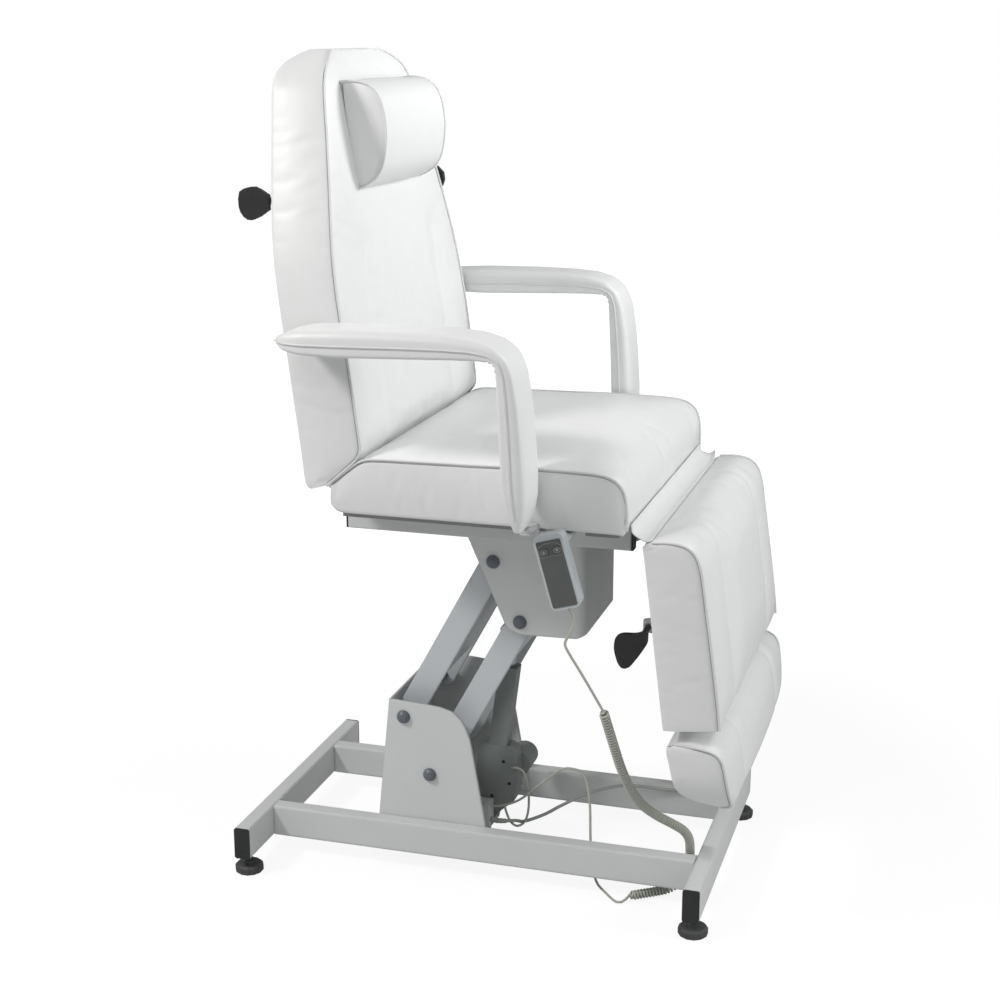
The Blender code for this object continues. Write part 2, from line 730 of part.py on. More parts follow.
def build_subframe():
    """Cross plate and side plates between the seat rails, with the hinge and gas-spring lugs."""
    outer = SEAT_RAIL_Y - SEAT_RAIL_W / 2 - GAP
    inner = outer - SIDE_PLATE
    low = SEAT_FRAME_Z + 0.004
    high = SEAT_FRAME_Z + 0.044
    hx, hz = LEG_HINGE
    bx, bz = BACK_HINGE
    plate = [(bx - 0.016, bz - 0.014), (bx, low), (hx - 0.045, low), (hx + 0.004, hz - 0.011),
             (hx + 0.011, hz - 0.004)]
    plate += [(hx + 0.010, hz + 0.006), (hx + 0.002, hz + 0.011), (hx - 0.04, high), (bx + 0.01, high),
              (bx - 0.016, bz + 0.01)]
    parts = [prism(plate, "xz", -outer, -inner), prism(plate, "xz", inner, outer)]
    parts.append(box((-0.030, -outer, low), (SUBFRAME_PLATE_END, outer, low + 0.006)))
    for fx, fz in (BACK_GAS_FIX, LEG_GAS_FIX):
        lug = [(fx - 0.012, fz - 0.010), (fx + 0.012, fz - 0.010), (fx + 0.016, low + 0.004),
               (fx - 0.016, low + 0.004)]
        parts.append(prism(lug, "xz", inner, outer))
    cuts = [cylinder(at, HINGE_R + PIN_PLAY, "xz", -0.2, 0.2) for at in (BACK_HINGE, LEG_HINGE)]
    place("seat_subframe", combine(parts, cuts), "grey_powder_coat")


def build_seat_board():
    low = SEAT_FRAME_Z + SEAT_RAIL_H + GAP
    half, notch = SEAT_HALF_W - 0.018, SEAT_RAIL_Y - 0.0158
    x0, x1, n0, n1 = -0.195, 0.285, 0.112, 0.231
    right = [(x0, -half), (n0, -half), (n0, -notch), (n1, -notch), (n1, -half), (x1, -half)]
    outline = right + [(x, -y) for x, y in reversed(right)]
    place("seat_board", prism(outline, "xy", low, low + BOARD_T), "plywood")


def build_arm_brackets():
    low = SEAT_FRAME_Z + SEAT_RAIL_H + GAP
    high = low + ARM_PLATE_T
    near = SEAT_RAIL_Y - SEAT_RAIL_W / 2 + 0.001

    def bracket():
        end = HANDSET_Y[1] + 0.0005
        out = -ARM_RISER_Y - 0.005
        x0, x1 = ARMREST_PIN_X - 0.018, ARMREST_PIN_X + 0.016
        plan = [(x0, -near), (0.212, -near), (0.212, end), (0.172, end), (0.172, -0.300), (x1, -0.300),
                (x1, out), (x0, out)]
        top = ARMREST_LOW - 0.002
        riser = box((x0 + 0.002, out + 0.0005, low + 0.001), (x1 - 0.002, -ARM_RISER_Y, top))
        lug = box((x0 + 0.003, -ARMREST_PIN_Y - 0.012, top - ARM_PLATE_T),
                  (x1 - 0.003, -ARM_RISER_Y - 0.001, top))
        pin = cylinder((ARMREST_PIN_X, -ARMREST_PIN_Y), ARMREST_PIN_R, "xy", top - 0.004, ARMREST_LOW - GAP)
        return combine([prism(plan, "xy", low, high), riser, lug, pin])

    add_pair("arm_bracket", bracket, "grey_powder_coat")


def handset_point(side, up):
    c, s = math.cos(HANDSET_TILT), math.sin(HANDSET_TILT)
    return (HANDSET_AT[0] + side * c - up * s, HANDSET_AT[1] + side * s + up * c)


def handset_outline(width, length, radius, centre=(0.0, 0.0)):
    return [handset_point(a, b) for a, b in rounded_rect(width, length, radius, centre)]


def build_handset():
    front, back = HANDSET_Y
    spots = [(-BUTTON_SIDE, BUTTON_UP), (BUTTON_SIDE, BUTTON_UP)]
    pockets = [prism(handset_outline(BUTTON_W, BUTTON_L, 0.002, s), "xz", front - 0.01,
               front + 0.004) for s in spots]
    case = prism(handset_outline(HANDSET_W, HANDSET_L, 0.009), "xz", front, back)
    place("handset_case", combine([case], pockets), "handset_plastic")
    film = prism(handset_outline(HANDSET_W - 0.009, HANDSET_L - 0.014, 0.003, (-0.0005, -0.0025)), "xz",
                 front - 0.0012,
                 front - GAP)
    windows = [prism(handset_outline(BUTTON_W, BUTTON_L, 0.002, s), "xz", front - 0.01,
               front + 0.01) for s in spots]
    place("handset_panel", combine([film], windows), "membrane")
    for name, spot in zip(("button_up", "button_down"), spots):
        outline = handset_outline(BUTTON_W - 0.0008, BUTTON_L - 0.0008, 0.0018, spot)
        place(name, prism(outline, "xz", front - 0.0020, front + 0.0022), "button_film")


ACROSS = (0.0, 0.28, 0.50, 0.566, 0.63, 0.80, 0.94, 1.0)
ACROSS_SEAT = (0.0, 0.30, 0.60, 0.82, 0.94, 1.0)
ACROSS_ARM = (0.0, 0.50, 0.85, 1.0)
CHANNELS = (0.180,)


def build_seat_cushion():
    low = SEAT_FRAME_Z + SEAT_RAIL_H + BOARD_T + 2 * GAP
    table = [(-0.2075, 0.779, -0.2095, 0.742, 0.0), (-0.190, 0.7925, -0.203, 0.7315, 0.0)]
    table += [(-0.170, 0.8095, -0.192, low, 0.001), (-0.150, 0.8245, -0.165, low, 0.002)]
    table += [(-0.115, 0.8255, -0.120, low, 0.010), (-0.040, 0.8265, -0.040, low, 0.016)]
    table += [(0.040, 0.8275, 0.040, low, 0.018), (0.120, 0.8295, 0.120, low, 0.018)]
    table += [(0.190, 0.8295, 0.190, low, 0.016), (0.235, 0.8275, 0.228, low, 0.013)]
    table += [(0.262, 0.8245, 0.252, low, 0.010), (0.283, 0.8145, 0.270, low, 0.008)]
    table += [(0.295, 0.802, 0.281, low, 0.006), (0.302, 0.784, 0.289, low, 0.005)]
    table += [(0.304, 0.760, 0.294, low, 0.003), (0.3035, 0.737, 0.298, low, 0.001)]
    rows = [(fx, fz, bx, bz, SEAT_HALF_W, crown, 0.0) for fx, fz, bx, bz, crown in table]
    place("seat_cushion", cushion(rows, ACROSS_SEAT), "white_vinyl")


BACK_REAR = ((-0.245, 0.7665), (-0.2505, 0.768), (-0.2555, 0.7735), (-0.258, 0.784), (-0.265, 0.85),
             (-0.2755, 0.93),
             (-0.284, 1.00), (-0.2905, 1.05), (-0.2985, 1.10), (-0.3075, 1.15), (-0.3150, 1.20),
             (-0.322, 1.25),
             (-0.328, 1.30), (-0.3335, 1.35), (-0.339, 1.40), (-0.343, 1.445), (-0.336, 1.473),
             (-0.312, 1.488))


def build_back_cushion():
    front = [(-0.2165, 0.7755), (-0.195, 0.794), (-0.172, 0.8145), (-0.1525, 0.832), (-0.158, 0.875)]
    front += [(-0.1675, 0.95), (-0.174, 1.00), (-0.1825, 1.05), (-0.191, 1.10), (-0.1995, 1.15),
              (-0.2075, 1.20)]
    front += [(-0.215, 1.25), (-0.2235, 1.30), (-0.232, 1.35), (-0.241, 1.40), (-0.249, 1.445)]
    front += [(-0.257, 1.473), (-0.272, 1.4865)]
    wider = [0.001] * 7 + [0.002, -0.002, -0.011, -0.026, -0.043, -0.061, -0.079, -0.095, -0.113,
                           -0.153, -0.203]
    half = [SEAT_HALF_W + w for w in wider]
    crown = [0.0, 0.0, 0.0, 0.002, 0.010, 0.014, 0.014, 0.014, 0.013, 0.012, 0.009]
    crown += [0.008, 0.007, 0.007, 0.006, 0.005, 0.003, 0.0]
    channel = [0.0] * 3 + [0.5] + [1.0] * 5 + [0.7, 0.2] + [0.0] * 7
    rows = [(*f, *b, w, c, g) for f, b, w, c, g in zip(front, BACK_REAR, half, crown, channel)]
    place("back_cushion", cushion(rows, ACROSS, channels=CHANNELS), "white_vinyl")


def build_leg_cushion():
    front = [(0.345, 0.7195), (0.379, 0.722), (0.404, 0.7185), (0.419, 0.7055), (0.4275, 0.68),
             (0.435, 0.63)]
    front += [(0.4425, 0.58), (0.450, 0.53), (0.457, 0.48), (0.463, 0.435), (0.465, 0.409)]
    back = [(0.3295, 0.7115)] + [leg_point(t, 0.0) for t in (0.0, 0.012, 0.028, 0.048, 0.087, 0.132, 0.176)]
    back += [leg_point(t, 0.0) for t in (0.226, 0.271, 0.304)]
    crown = [0.001, 0.006, 0.008, 0.010, 0.012, 0.013, 0.013, 0.013, 0.012, 0.008, 0.001]
    channel = [0.0, 0.3, 0.6, 0.9, 1.0, 1.0, 1.0, 1.0, 1.0, 0.8, 0.0]
    rows = [(*f, *b, SEAT_HALF_W - 0.001, c, g) for f, b, c, g in zip(front, back, crown, channel)]
    place("leg_cushion", cushion(rows, ACROSS, channels=CHANNELS), "white_vinyl")


def build_foot_cushion():
    front = [(0.412, 0.397), (0.444, 0.389), (0.463, 0.374), (0.473, 0.353), (0.4775, 0.325), (0.482, 0.29)]
    front += [(0.4845, 0.268), (0.4815, 0.2565), (0.466, 0.251)]
    back = [(0.3845, 0.3945), (0.380, 0.386), (0.3785, 0.372), (0.380, 0.352), (0.3845, 0.325),
            (0.393, 0.29)]
    back += [(0.404, 0.272), (0.420, 0.2595), (0.441, 0.253)]
    half = [SEAT_HALF_W - w for w in (0.006, 0.003, 0.002, 0.002, 0.004, 0.015, 0.032, 0.050, 0.063)]
    crown = [0.001, 0.006, 0.009, 0.011, 0.012, 0.012, 0.009, 0.005, 0.001]
    channel = [0.0, 0.6, 1.0, 1.0, 1.0, 1.0, 0.7, 0.2, 0.0]
    rows = [(*f, *b, w, c, g) for f, b, w, c, g in zip(front, back, half, crown, channel)]
    place("foot_cushion", cushion(rows, ACROSS, channels=CHANNELS), "white_vinyl")


def build_armrests():
    front = [(-0.262, 1.041), (-0.245, 1.0505), (-0.215, 1.057), (-0.15, 1.0605), (-0.05, 1.062),
             (0.03, 1.061)]
    front += [(0.075, 1.057), (0.108, 1.047), (0.131, 1.028), (0.144, 1.00), (0.1530, 0.95),
              (0.1585, 0.895)]
    front += [(0.1630, 0.83), (0.1630, 0.795), (0.1575, 0.765), (0.1490, ARMREST_LOW)]
    back = [(-0.262, 1.034), (-0.248, 1.0215), (-0.215, 1.016), (-0.15, 1.0150), (-0.05, 1.0180),
            (0.02, 1.0205)]
    back += [(0.062, 1.0220), (0.090, 1.0222), (0.1060, 1.0170), (0.1130, 1.000), (0.1170, 0.95),
             (0.1198, 0.895)]
    back += [(0.1222, 0.83), (0.1262, 0.800), (0.1330, 0.770), (0.1420, ARMREST_LOW)]
    share = [0.62, 0.86, 0.98] + [1.0] * 10 + [0.96, 0.82, 0.62]
    crown = [0.001, 0.003, 0.004] + [0.005] * 10 + [0.004, 0.002, 0.0]

    def pad():
        rows = [(*f, *b, ARMREST_HALF_W * s, c, 0.0) for f, b, s, c in zip(front, back, share, crown)]
        return cushion(rows, ACROSS_ARM, -ARMREST_Y, bulge=0.002)

    add_pair("armrest", pad, "white_vinyl")


def build_pillow():
    outline = [(-0.2075, 1.2565), (-0.1930, 1.2650), (-0.1770, 1.2790), (-0.1655, 1.3000),
               (-0.1595, 1.3350)]
    outline += [(-0.1595, 1.3650), (-0.1640, 1.3930), (-0.1740, 1.4150), (-0.1930, 1.4300),
                (-0.2375, 1.4365)]
    middle = Vector((-0.215, 1.345))
    rings = []
    for y, size in ((-0.156, 0.975), (-0.145, 1.0), (-0.08, 1.012), (0.0, 1.015), (0.08, 1.012),
                    (0.145, 1.0), (0.156, 0.975)):
        ring = []
        for i, p in enumerate(outline):
            keep = size if 0 < i < len(outline) - 1 else 1.0
            q = middle + (Vector(p) - middle) * keep
            ring.append((q.x, y, q.y))
        rings.append(ring)
    count = len(outline)
    verts = [v for ring in rings for v in ring]
    faces = [list(range(count)), list(range((len(rings) - 1) * count, len(rings) * count))]
    for i in range(len(rings) - 1):
        for k in range(count):
            j = (k + 1) % count
            faces.append([i * count + k, i * count + j, (i + 1) * count + j, (i + 1) * count + k])
    place("head_pillow", mesh_from(verts, faces), "white_vinyl")


def build_flap():
    line = [(0.3087, 0.745), (0.3095, 0.733), (0.3140, 0.7265), (0.3220, 0.7215), (0.3330, 0.7172),
            (0.3420, 0.7204)]
    half = 0.001
    upper, lower = [], []
    for i, p in enumerate(line):
        normal = chain_normal(line, i, (0.30, 0.70))
        upper.append((p[0] + normal.x * half, p[1] + normal.y * half))
        lower.append((p[0] - normal.x * half, p[1] - normal.y * half))
    place("hinge_flap", prism(upper + lower[::-1], "xz", -SEAT_HALF_W + 0.013, SEAT_HALF_W - 0.013),
          "white_vinyl")


def build_back_frame():
    inner, outer = HINGE_PLATE_Y, HINGE_PLATE_Y + SIDE_PLATE
    hx, hz = BACK_HINGE
    plate = [(hx + 0.013, hz - 0.006), (hx, hz - 0.015), (hx - 0.017, hz - 0.011), (-0.290, 0.745),
             (-0.318, 1.02)]
    plate += [(-0.353, 1.262), (-0.3245, 1.262)]
    plate += [(x - GAP, z) for x, z in reversed(BACK_REAR) if 0.78 < z < 1.255]
    plate += [(-0.2600, 0.765), (-0.225, 0.735), (hx + 0.010, hz + 0.011)]
    lx, lz = BACK_LEVER
    lever = [(hx - 0.010, hz), (hx + 0.010, hz), (lx + 0.008, lz - 0.006), (lx - 0.008, lz - 0.006)]
    parts = [prism(plate, "xz", -outer, -inner), prism(plate, "xz", inner, outer)]
    parts.append(prism(lever, "xz", inner, outer))
    for x, z in (BACK_REAR[5], BACK_REAR[8]):
        parts.append(box((x - 0.016, -inner - 0.002, z - 0.015), (x - 0.010, inner + 0.002, z + 0.015)))
    bar_end = SEAT_RAIL_Y - SEAT_RAIL_W / 2 - GAP
    parts.append(cylinder(BACK_HINGE, HINGE_R, "xz", -bar_end, bar_end))
    cut = cylinder(RELEASE_AT, RELEASE_R + PIN_PLAY, "xz", -0.2, 0.2)
    place("back_frame", combine(parts, [cut]), "grey_powder_coat")


def build_back_release():
    x, z = RELEASE_AT
    near = [(-0.3785, 1.2590), (-0.3700, 1.2642), (-0.3610, 1.2668), (-0.3517, 1.2674), (-0.3430, 1.2640)]
    near += [(-0.3265, 1.2543), (-0.3265, 1.2295), (-0.3430, 1.2180), (-0.3569, 1.2120), (-0.3650, 1.2125)]
    near += [(-0.3719, 1.2171), (-0.3775, 1.2245), (-0.3804, 1.2335), (-0.3810, 1.2470)]
    far = [(-0.346, 1.232), (-0.300, 1.222), (-0.237, 1.217), (-0.226, 1.224), (-0.222, 1.236),
           (-0.224, 1.250)]
    far += [(-0.236, 1.262), (-0.300, 1.262), (-0.346, 1.250)]
    parts = [prism(near, "xz", -0.274, -0.263), prism(far, "xz", 0.333, 0.344)]
    parts.append(cylinder(RELEASE_AT, RELEASE_R, "xz", -0.268, 0.338))
    place("back_release_bar", combine(parts), "black_plastic")


def gas_spring(name, fixed, lever, body_len, low):
    """Cylinder with an open bore and the rod that runs in it."""
    run = Vector(lever) - Vector(fixed)
    length = run.length
    e = run.normalized()
    start = (fixed[0], GAS_Y, fixed[1])
    axis = (e.x, 0.0, e.y)
    shell = [(0.0, 0.008), (GAS_R, 0.008), (GAS_R, body_len), (GAS_BORE_R, body_len),
             (GAS_BORE_R, 0.030), (0.0, 0.030)]
    eye_out = SEAT_RAIL_Y - SEAT_RAIL_W / 2 - GAP - SIDE_PLATE - 0.0005
    eye = cylinder(fixed, 0.010, "xz", GAS_Y - 0.008, eye_out)
    place(name + "_cylinder", combine([revolve(shell, start, axis), eye]), "black_plastic")
    low_at = Vector(start) + Vector(axis) * low
    rod = [(0.0, 0.0), (GAS_ROD_R, 0.0), (GAS_ROD_R, length - low), (0.0, length - low)]
    eye = cylinder(lever, 0.009, "xz", GAS_Y - 0.008, HINGE_PLATE_Y - 0.0005)
    place(name + "_rod", combine([revolve(rod, low_at, axis), eye]), "zinc_steel")


def build_leg_frame():
    half_w = LEG_BOARD_HALF_W
    back = -GAP - LEG_BOARD_T
    slab = [leg_point(t, n) for t, n in ((0.036, back), (0.285, back), (0.285, -GAP), (0.036, -GAP))]
    inner, outer = HINGE_PLATE_Y, HINGE_PLATE_Y + SIDE_PLATE
    strap = [leg_point(t, n) for t, n in ((-0.014, -0.020), (0.010, -0.024), (0.120, -0.020),
             (0.120, -0.009), (0.010, -0.009), (-0.014, -0.006))]
    hx, hz = LEG_HINGE
    lx, lz = LEG_LEVER
    lever = [(hx - 0.010, hz), (hx + 0.008, hz), (lx + 0.008, lz - 0.006), (lx - 0.008, lz - 0.006)]
    guide = [leg_point(t, n) for t, n in ((0.225, -0.034), (0.250, -0.034), (0.250, -0.009),
             (0.225, -0.009))]
    parts = [prism(slab, "xz", -half_w, half_w), prism(strap, "xz", -outer, -inner), prism(strap, "xz",
             inner, outer)]
    parts += [prism(lever, "xz", inner, outer), prism(guide, "xz", -SLIDE_Y - 0.020, SLIDE_Y + 0.020)]
    bar_end = SEAT_RAIL_Y - SEAT_RAIL_W / 2 - GAP
    parts.append(cylinder(LEG_HINGE, HINGE_R, "xz", -bar_end, bar_end))
    px, pz = PADDLE_AT
    lug = [(px - 0.009, pz - 0.010), (px - 0.009, pz + 0.010), (px + 0.012, pz + 0.014),
           (px + 0.015, pz - 0.012)]
    parts.append(prism(lug, "xz", -half_w + 0.001, -half_w + 0.012))
    cuts = [cylinder(PADDLE_AT, PADDLE_SPINDLE_R + PIN_PLAY, "xz", -half_w - 0.01, -half_w + 0.04)]
    for y in (-SLIDE_Y, SLIDE_Y):
        a = leg_point(0.20, -SLIDE_OFF)
        hole = [(0.0, 0.0), (SLIDE_R + PIN_PLAY, 0.0), (SLIDE_R + PIN_PLAY, 0.08), (0.0, 0.08)]
        cuts.append(revolve(hole, (a[0], y, a[1]), (LEG_DIR[0], 0.0, LEG_DIR[1])))
    place("leg_frame", combine(parts, cuts), "grey_powder_coat")


def build_foot_frame():
    parts = []
    plate = [leg_point(t, n) for t, n in ((0.314, -0.010), (0.372, -0.010), (0.372, 0.004), (0.314, 0.004))]
    parts.append(prism(plate, "xz", -0.150, 0.150))
    lug = [leg_point(t, n) for t, n in ((0.316, -0.031), (0.368, -0.031), (0.368, -0.005), (0.316, -0.005))]
    for y in (-SLIDE_Y, SLIDE_Y):
        parts.append(prism(lug, "xz", y - 0.012, y + 0.012))
        a = leg_point(0.110, -SLIDE_OFF)
        rod = [(0.0, 0.0), (SLIDE_R, 0.0), (SLIDE_R, 0.25), (0.0, 0.25)]
        parts.append(revolve(rod, (a[0], y, a[1]), (LEG_DIR[0], 0.0, LEG_DIR[1])))
    place("foot_frame", combine(parts), "zinc_steel")


def build_leg_release():
    outline = [(0.2842, 0.5462), (0.2894, 0.5527), (0.2986, 0.5559), (0.3163, 0.5572), (0.3270, 0.5605),
               (0.3315, 0.5655)]
    outline += [(0.3380, 0.5650), (0.3385, 0.5530), (0.3373, 0.5412), (0.3301, 0.5281), (0.3202, 0.5133),
                (0.3107, 0.5008)]
    outline += [(0.3028, 0.4963), (0.2962, 0.4968), (0.2903, 0.5033), (0.2856, 0.5157), (0.2827, 0.5301)]
    paddle = prism(round_outline(outline), "xz", -0.304, -0.293)
    spindle = cylinder(PADDLE_AT, PADDLE_SPINDLE_R, "xz", -0.296, -LEG_BOARD_HALF_W + 0.020)
    place("leg_release_paddle", combine([paddle, spindle]), "black_plastic")


def curl_points(path, turns, radius, per_turn):
    """Helix about a path, with a frame carried along it."""
    count = turns * per_turn
    centre = even_points(path, count + 1)
    points = []
    side = Vector((0.0, 0.0, 1.0))
    for i in range(count + 1):
        ahead = centre[min(i + 1, count)] - centre[max(i - 1, 0)]
        along = ahead.normalized()
        side = (side - along * side.dot(along)).normalized()
        other = along.cross(side)
        angle = 2 * math.pi * i / per_turn
        grow = min(1.0, i / per_turn, (count - i) / per_turn)
        out = side * math.cos(angle) + other * math.sin(angle)
        points.append(centre[i] + out * radius * grow)
    return points


def nearest_self(points, skip):
    best = 1.0
    for i in range(len(points)):
        for j in range(i + skip, len(points)):
            best = min(best, (points[i] - points[j]).length)
    return best


def build_handset_cord():
    end = handset_point(0.0, -HANDSET_L / 2 - 0.0006)
    y = (HANDSET_Y[0] + HANDSET_Y[1]) / 2
    upper = [(end[0], y, end[1]), (end[0] + 0.0020, y, end[1] - 0.006), (0.2290, y, 0.598),
             (0.2265, y, 0.578)]
    upper += [(0.2185, y, 0.562), (0.2150, y + 0.001, 0.553), (0.2180, y + 0.003, 0.540),
              (0.2440, -0.345, 0.486), (0.2725, -0.330, 0.4275)]
    wound = [(0.2725, -0.330, 0.4275), (0.2820, -0.302, 0.3660), (0.2917, -0.272, 0.3040),
             (0.3036, -0.243, 0.2525)]
    wound += [(0.3191, -0.213, 0.2123), (0.3387, -0.185, 0.1834), (0.3611, -0.160, 0.1599),
              (0.3784, -0.140, 0.1396)]
    wound += [(0.3860, -0.124, 0.1167), (0.3863, -0.112, 0.0876), (0.3830, -0.104, 0.0536),
              (0.3717, -0.104, 0.0261)]
    wound += [(0.3509, -0.118, 0.0115), (0.3289, -0.136, 0.0105), (0.3065, -0.152, 0.0105),
              (0.2873, -0.166, 0.0105)]
    lower = [(0.2873, -0.166, 0.0105), (0.279, -0.180, 0.005), (0.266, -0.181, 0.0035),
             (0.240, -0.152, 0.0035), (0.218, -0.125, 0.006)]
    lower += [(0.206, -0.112, 0.030), (0.199, -0.102, 0.082), (0.190, -0.075, 0.140),
              (0.174, -0.052, 0.182), (0.150, -0.050, 0.192)]
    lower += [(0.126, -0.050, 0.186), (0.085, -0.050, 0.150), (0.049, -0.050, 0.117),
              (0.015, -0.050, 0.100), (-0.0094, -0.050, 0.096)]
    curls = curl_points(smooth_path(wound, 120), CURL_COUNT, CURL_R, CURL_POINTS)
    head = smooth_path(upper, 18)
    tail = smooth_path(lower, 30)
    points = head[:-1] + curls + tail[1:]
    print("handset cord: length %.3f m, wound run %.3f m" % (path_length(points),
          path_length(smooth_path(wound, 120))))
    clear = nearest_self(curls, CURL_POINTS // 2 + 1) - 2 * CORD_R
    print("handset cord: gap to itself %.2f mm" % (1000 * clear))
    cord("handset_cord", points, CORD_R, "cord_jacket", 1)


def build_mains_lead():
    top = BASE_Z + TUBE_H + MAINS_R + 0.0018
    run = [(-0.0094, -0.045, 0.066), (0.010, -0.0415, 0.064), (0.036, -0.030, 0.063)]
    run += [(0.050, -0.0195, 0.0588)]
    run += [(0.085, -0.001, 0.070), (0.110, 0.014, 0.083), (0.156, 0.050, 0.100)]
    run += [(0.208, 0.098, 0.102), (0.250, 0.118, 0.097), (0.290, 0.1275, 0.092), (0.325, 0.1305, 0.0935)]
    x0, x1 = COIL_X
    y0 = RAIL_Y
    near = y0 - COIL_R
    run.append((x1 - 0.022, near - 0.0005, top - COIL_RISE * 0.45))
    for back in (0.25, 0.125):
        angle = -2 * math.pi * back
        run.append((x1 + COIL_R * math.cos(angle), y0 + COIL_R * math.sin(angle), top - COIL_RISE * back))
    loops = []
    for k in range(COIL_LOOPS * COIL_POINTS + COIL_POINTS // 4 + 1):
        angle = 2 * math.pi * k / COIL_POINTS
        x = x1 if math.cos(angle) >= -1e-9 else x0
        z = top + COIL_RISE * k / COIL_POINTS
        loops.append((x + COIL_R * math.cos(angle), y0 + COIL_R * math.sin(angle), z))
    lead = smooth_path(run + loops[:1], 40)
    wound = [Vector(p) for p in loops[1:]]
    ex, ey, ez = loops[-1]
    tail = [(ex - 0.010, ey - 0.0004, ez + 0.0030), (ex - 0.020, ey - 0.0012, ez + 0.0085)]
    tail += [(ex - 0.030, ey - 0.0018, ez + 0.0130), (ex - 0.038, ey - 0.0020, ez + 0.0143)]
    tail.append((ex - 0.045, ey - 0.0020, ez + 0.0143))
    points = lead + wound + [Vector(p) for p in tail]
    print("mains lead: length %.3f m" % path_length(points))
    cord("mains_lead", points, MAINS_R, "cord_jacket", 1)
    build_mains_plug(points[-1])


def build_mains_plug(at):
    body = [(0.0, 0.0), (0.006, 0.0), (0.009, 0.012), (0.013, 0.018), (0.013, 0.040), (0.0, 0.040)]
    lift = Vector((-0.0006, 0.0, 0.0))
    parts = [revolve(body, at + lift, (-1, 0, 0), 16)]
    for side in (-0.0055, 0.0055):
        parts.append(cylinder((at.y + side, at.z + lift.z), 0.0022, "yz", at.x - 0.058, at.x - 0.036, 10))
    place("mains_plug", combine(parts), "black_plastic")


def build_motor_lead():
    run = [(0.0260, -0.0268, 0.170), (0.0300, -0.0297, 0.1712), (0.0380, -0.0300, 0.1710),
           (0.0500, -0.0300, 0.164)]
    run += [(0.0590, -0.0300, 0.133), (0.0600, -0.0300, 0.092), (0.0530, -0.0300, 0.064),
            (0.0380, -0.0300, 0.052)]
    run += [(0.0240, -0.0300, 0.060), (0.0145, -0.0297, 0.082), (0.0125, -0.0268, 0.090)]
    face = -0.0229
    points = [Vector((0.0260, face, 0.170))] + smooth_path(run, 18) + [Vector((0.0125, face, 0.090))]
    print("motor lead: length %.3f m" % path_length(points))
    cord("motor_lead", points, CORD_R, "cord_jacket", 2)


def main():
    clear_scene()
    build_base_tubes()
    build_base_caps()
    build_feet()
    build_tower()
    build_pins()
    build_arms()
    build_actuator_mount()
    build_actuator()
    build_seat_bracket()
    build_seat_rails()
    build_subframe()
    build_seat_board()
    build_arm_brackets()
    build_handset()
    build_seat_cushion()
    build_back_cushion()
    build_leg_cushion()
    build_foot_cushion()
    build_armrests()
    build_pillow()
    build_flap()
    build_back_frame()
    build_back_release()
    gas_spring("back_gas", BACK_GAS_FIX, BACK_LEVER, BACK_GAS_BODY, BACK_ROD_LOW)
    gas_spring("leg_gas", LEG_GAS_FIX, LEG_LEVER, LEG_GAS_BODY, LEG_ROD_LOW)
    build_leg_frame()
    build_foot_frame()
    build_leg_release()
    build_handset_cord()
    build_mains_lead()
    build_motor_lead()
    parent_pieces()


main()
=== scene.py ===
"""Looks of the facial bed: cords, upholstery, finishes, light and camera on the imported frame."""

import math

import bmesh
import bpy
import numpy as np
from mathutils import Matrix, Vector


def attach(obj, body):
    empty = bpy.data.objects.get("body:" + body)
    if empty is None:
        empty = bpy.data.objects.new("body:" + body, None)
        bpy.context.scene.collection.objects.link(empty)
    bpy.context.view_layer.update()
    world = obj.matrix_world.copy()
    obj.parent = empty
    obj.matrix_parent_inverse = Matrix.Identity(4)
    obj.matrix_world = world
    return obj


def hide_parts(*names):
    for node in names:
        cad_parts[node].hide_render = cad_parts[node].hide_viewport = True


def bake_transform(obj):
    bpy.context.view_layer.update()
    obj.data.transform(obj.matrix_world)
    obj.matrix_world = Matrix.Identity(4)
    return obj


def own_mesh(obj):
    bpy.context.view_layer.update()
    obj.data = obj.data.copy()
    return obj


bl_info = {
    "name": "Facial Bed",
    "version": (1, 0, 0),
    "blender": (4, 5, 0),
    "location": "View3D > Sidebar > Facial Bed",
    "description": "Dresses the facial bed's frame with upholstery, cords and finishes",
    "category": "Object",
}

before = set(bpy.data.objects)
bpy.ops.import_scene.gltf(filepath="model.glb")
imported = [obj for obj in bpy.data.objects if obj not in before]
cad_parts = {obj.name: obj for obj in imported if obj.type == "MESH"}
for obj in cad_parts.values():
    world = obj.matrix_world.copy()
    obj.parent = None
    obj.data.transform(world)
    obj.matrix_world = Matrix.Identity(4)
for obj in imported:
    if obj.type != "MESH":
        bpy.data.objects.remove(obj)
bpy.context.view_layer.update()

# The tables below are in metres from the middle of the base.
# SHIFT moves them to the model's origin.
SHIFT = 0.0237
SIDES = ((-1, "right"), (1, "left"))
WHITE = (1.0, 1.0, 1.0, 1.0)
# Points closer than this are one point
WELD = 2e-5
# Steps between two given points of a smooth path
PATH_STEPS = 24


def at(x, y, z):
    return Vector((x - SHIFT, y, z))


# Settings a user would change

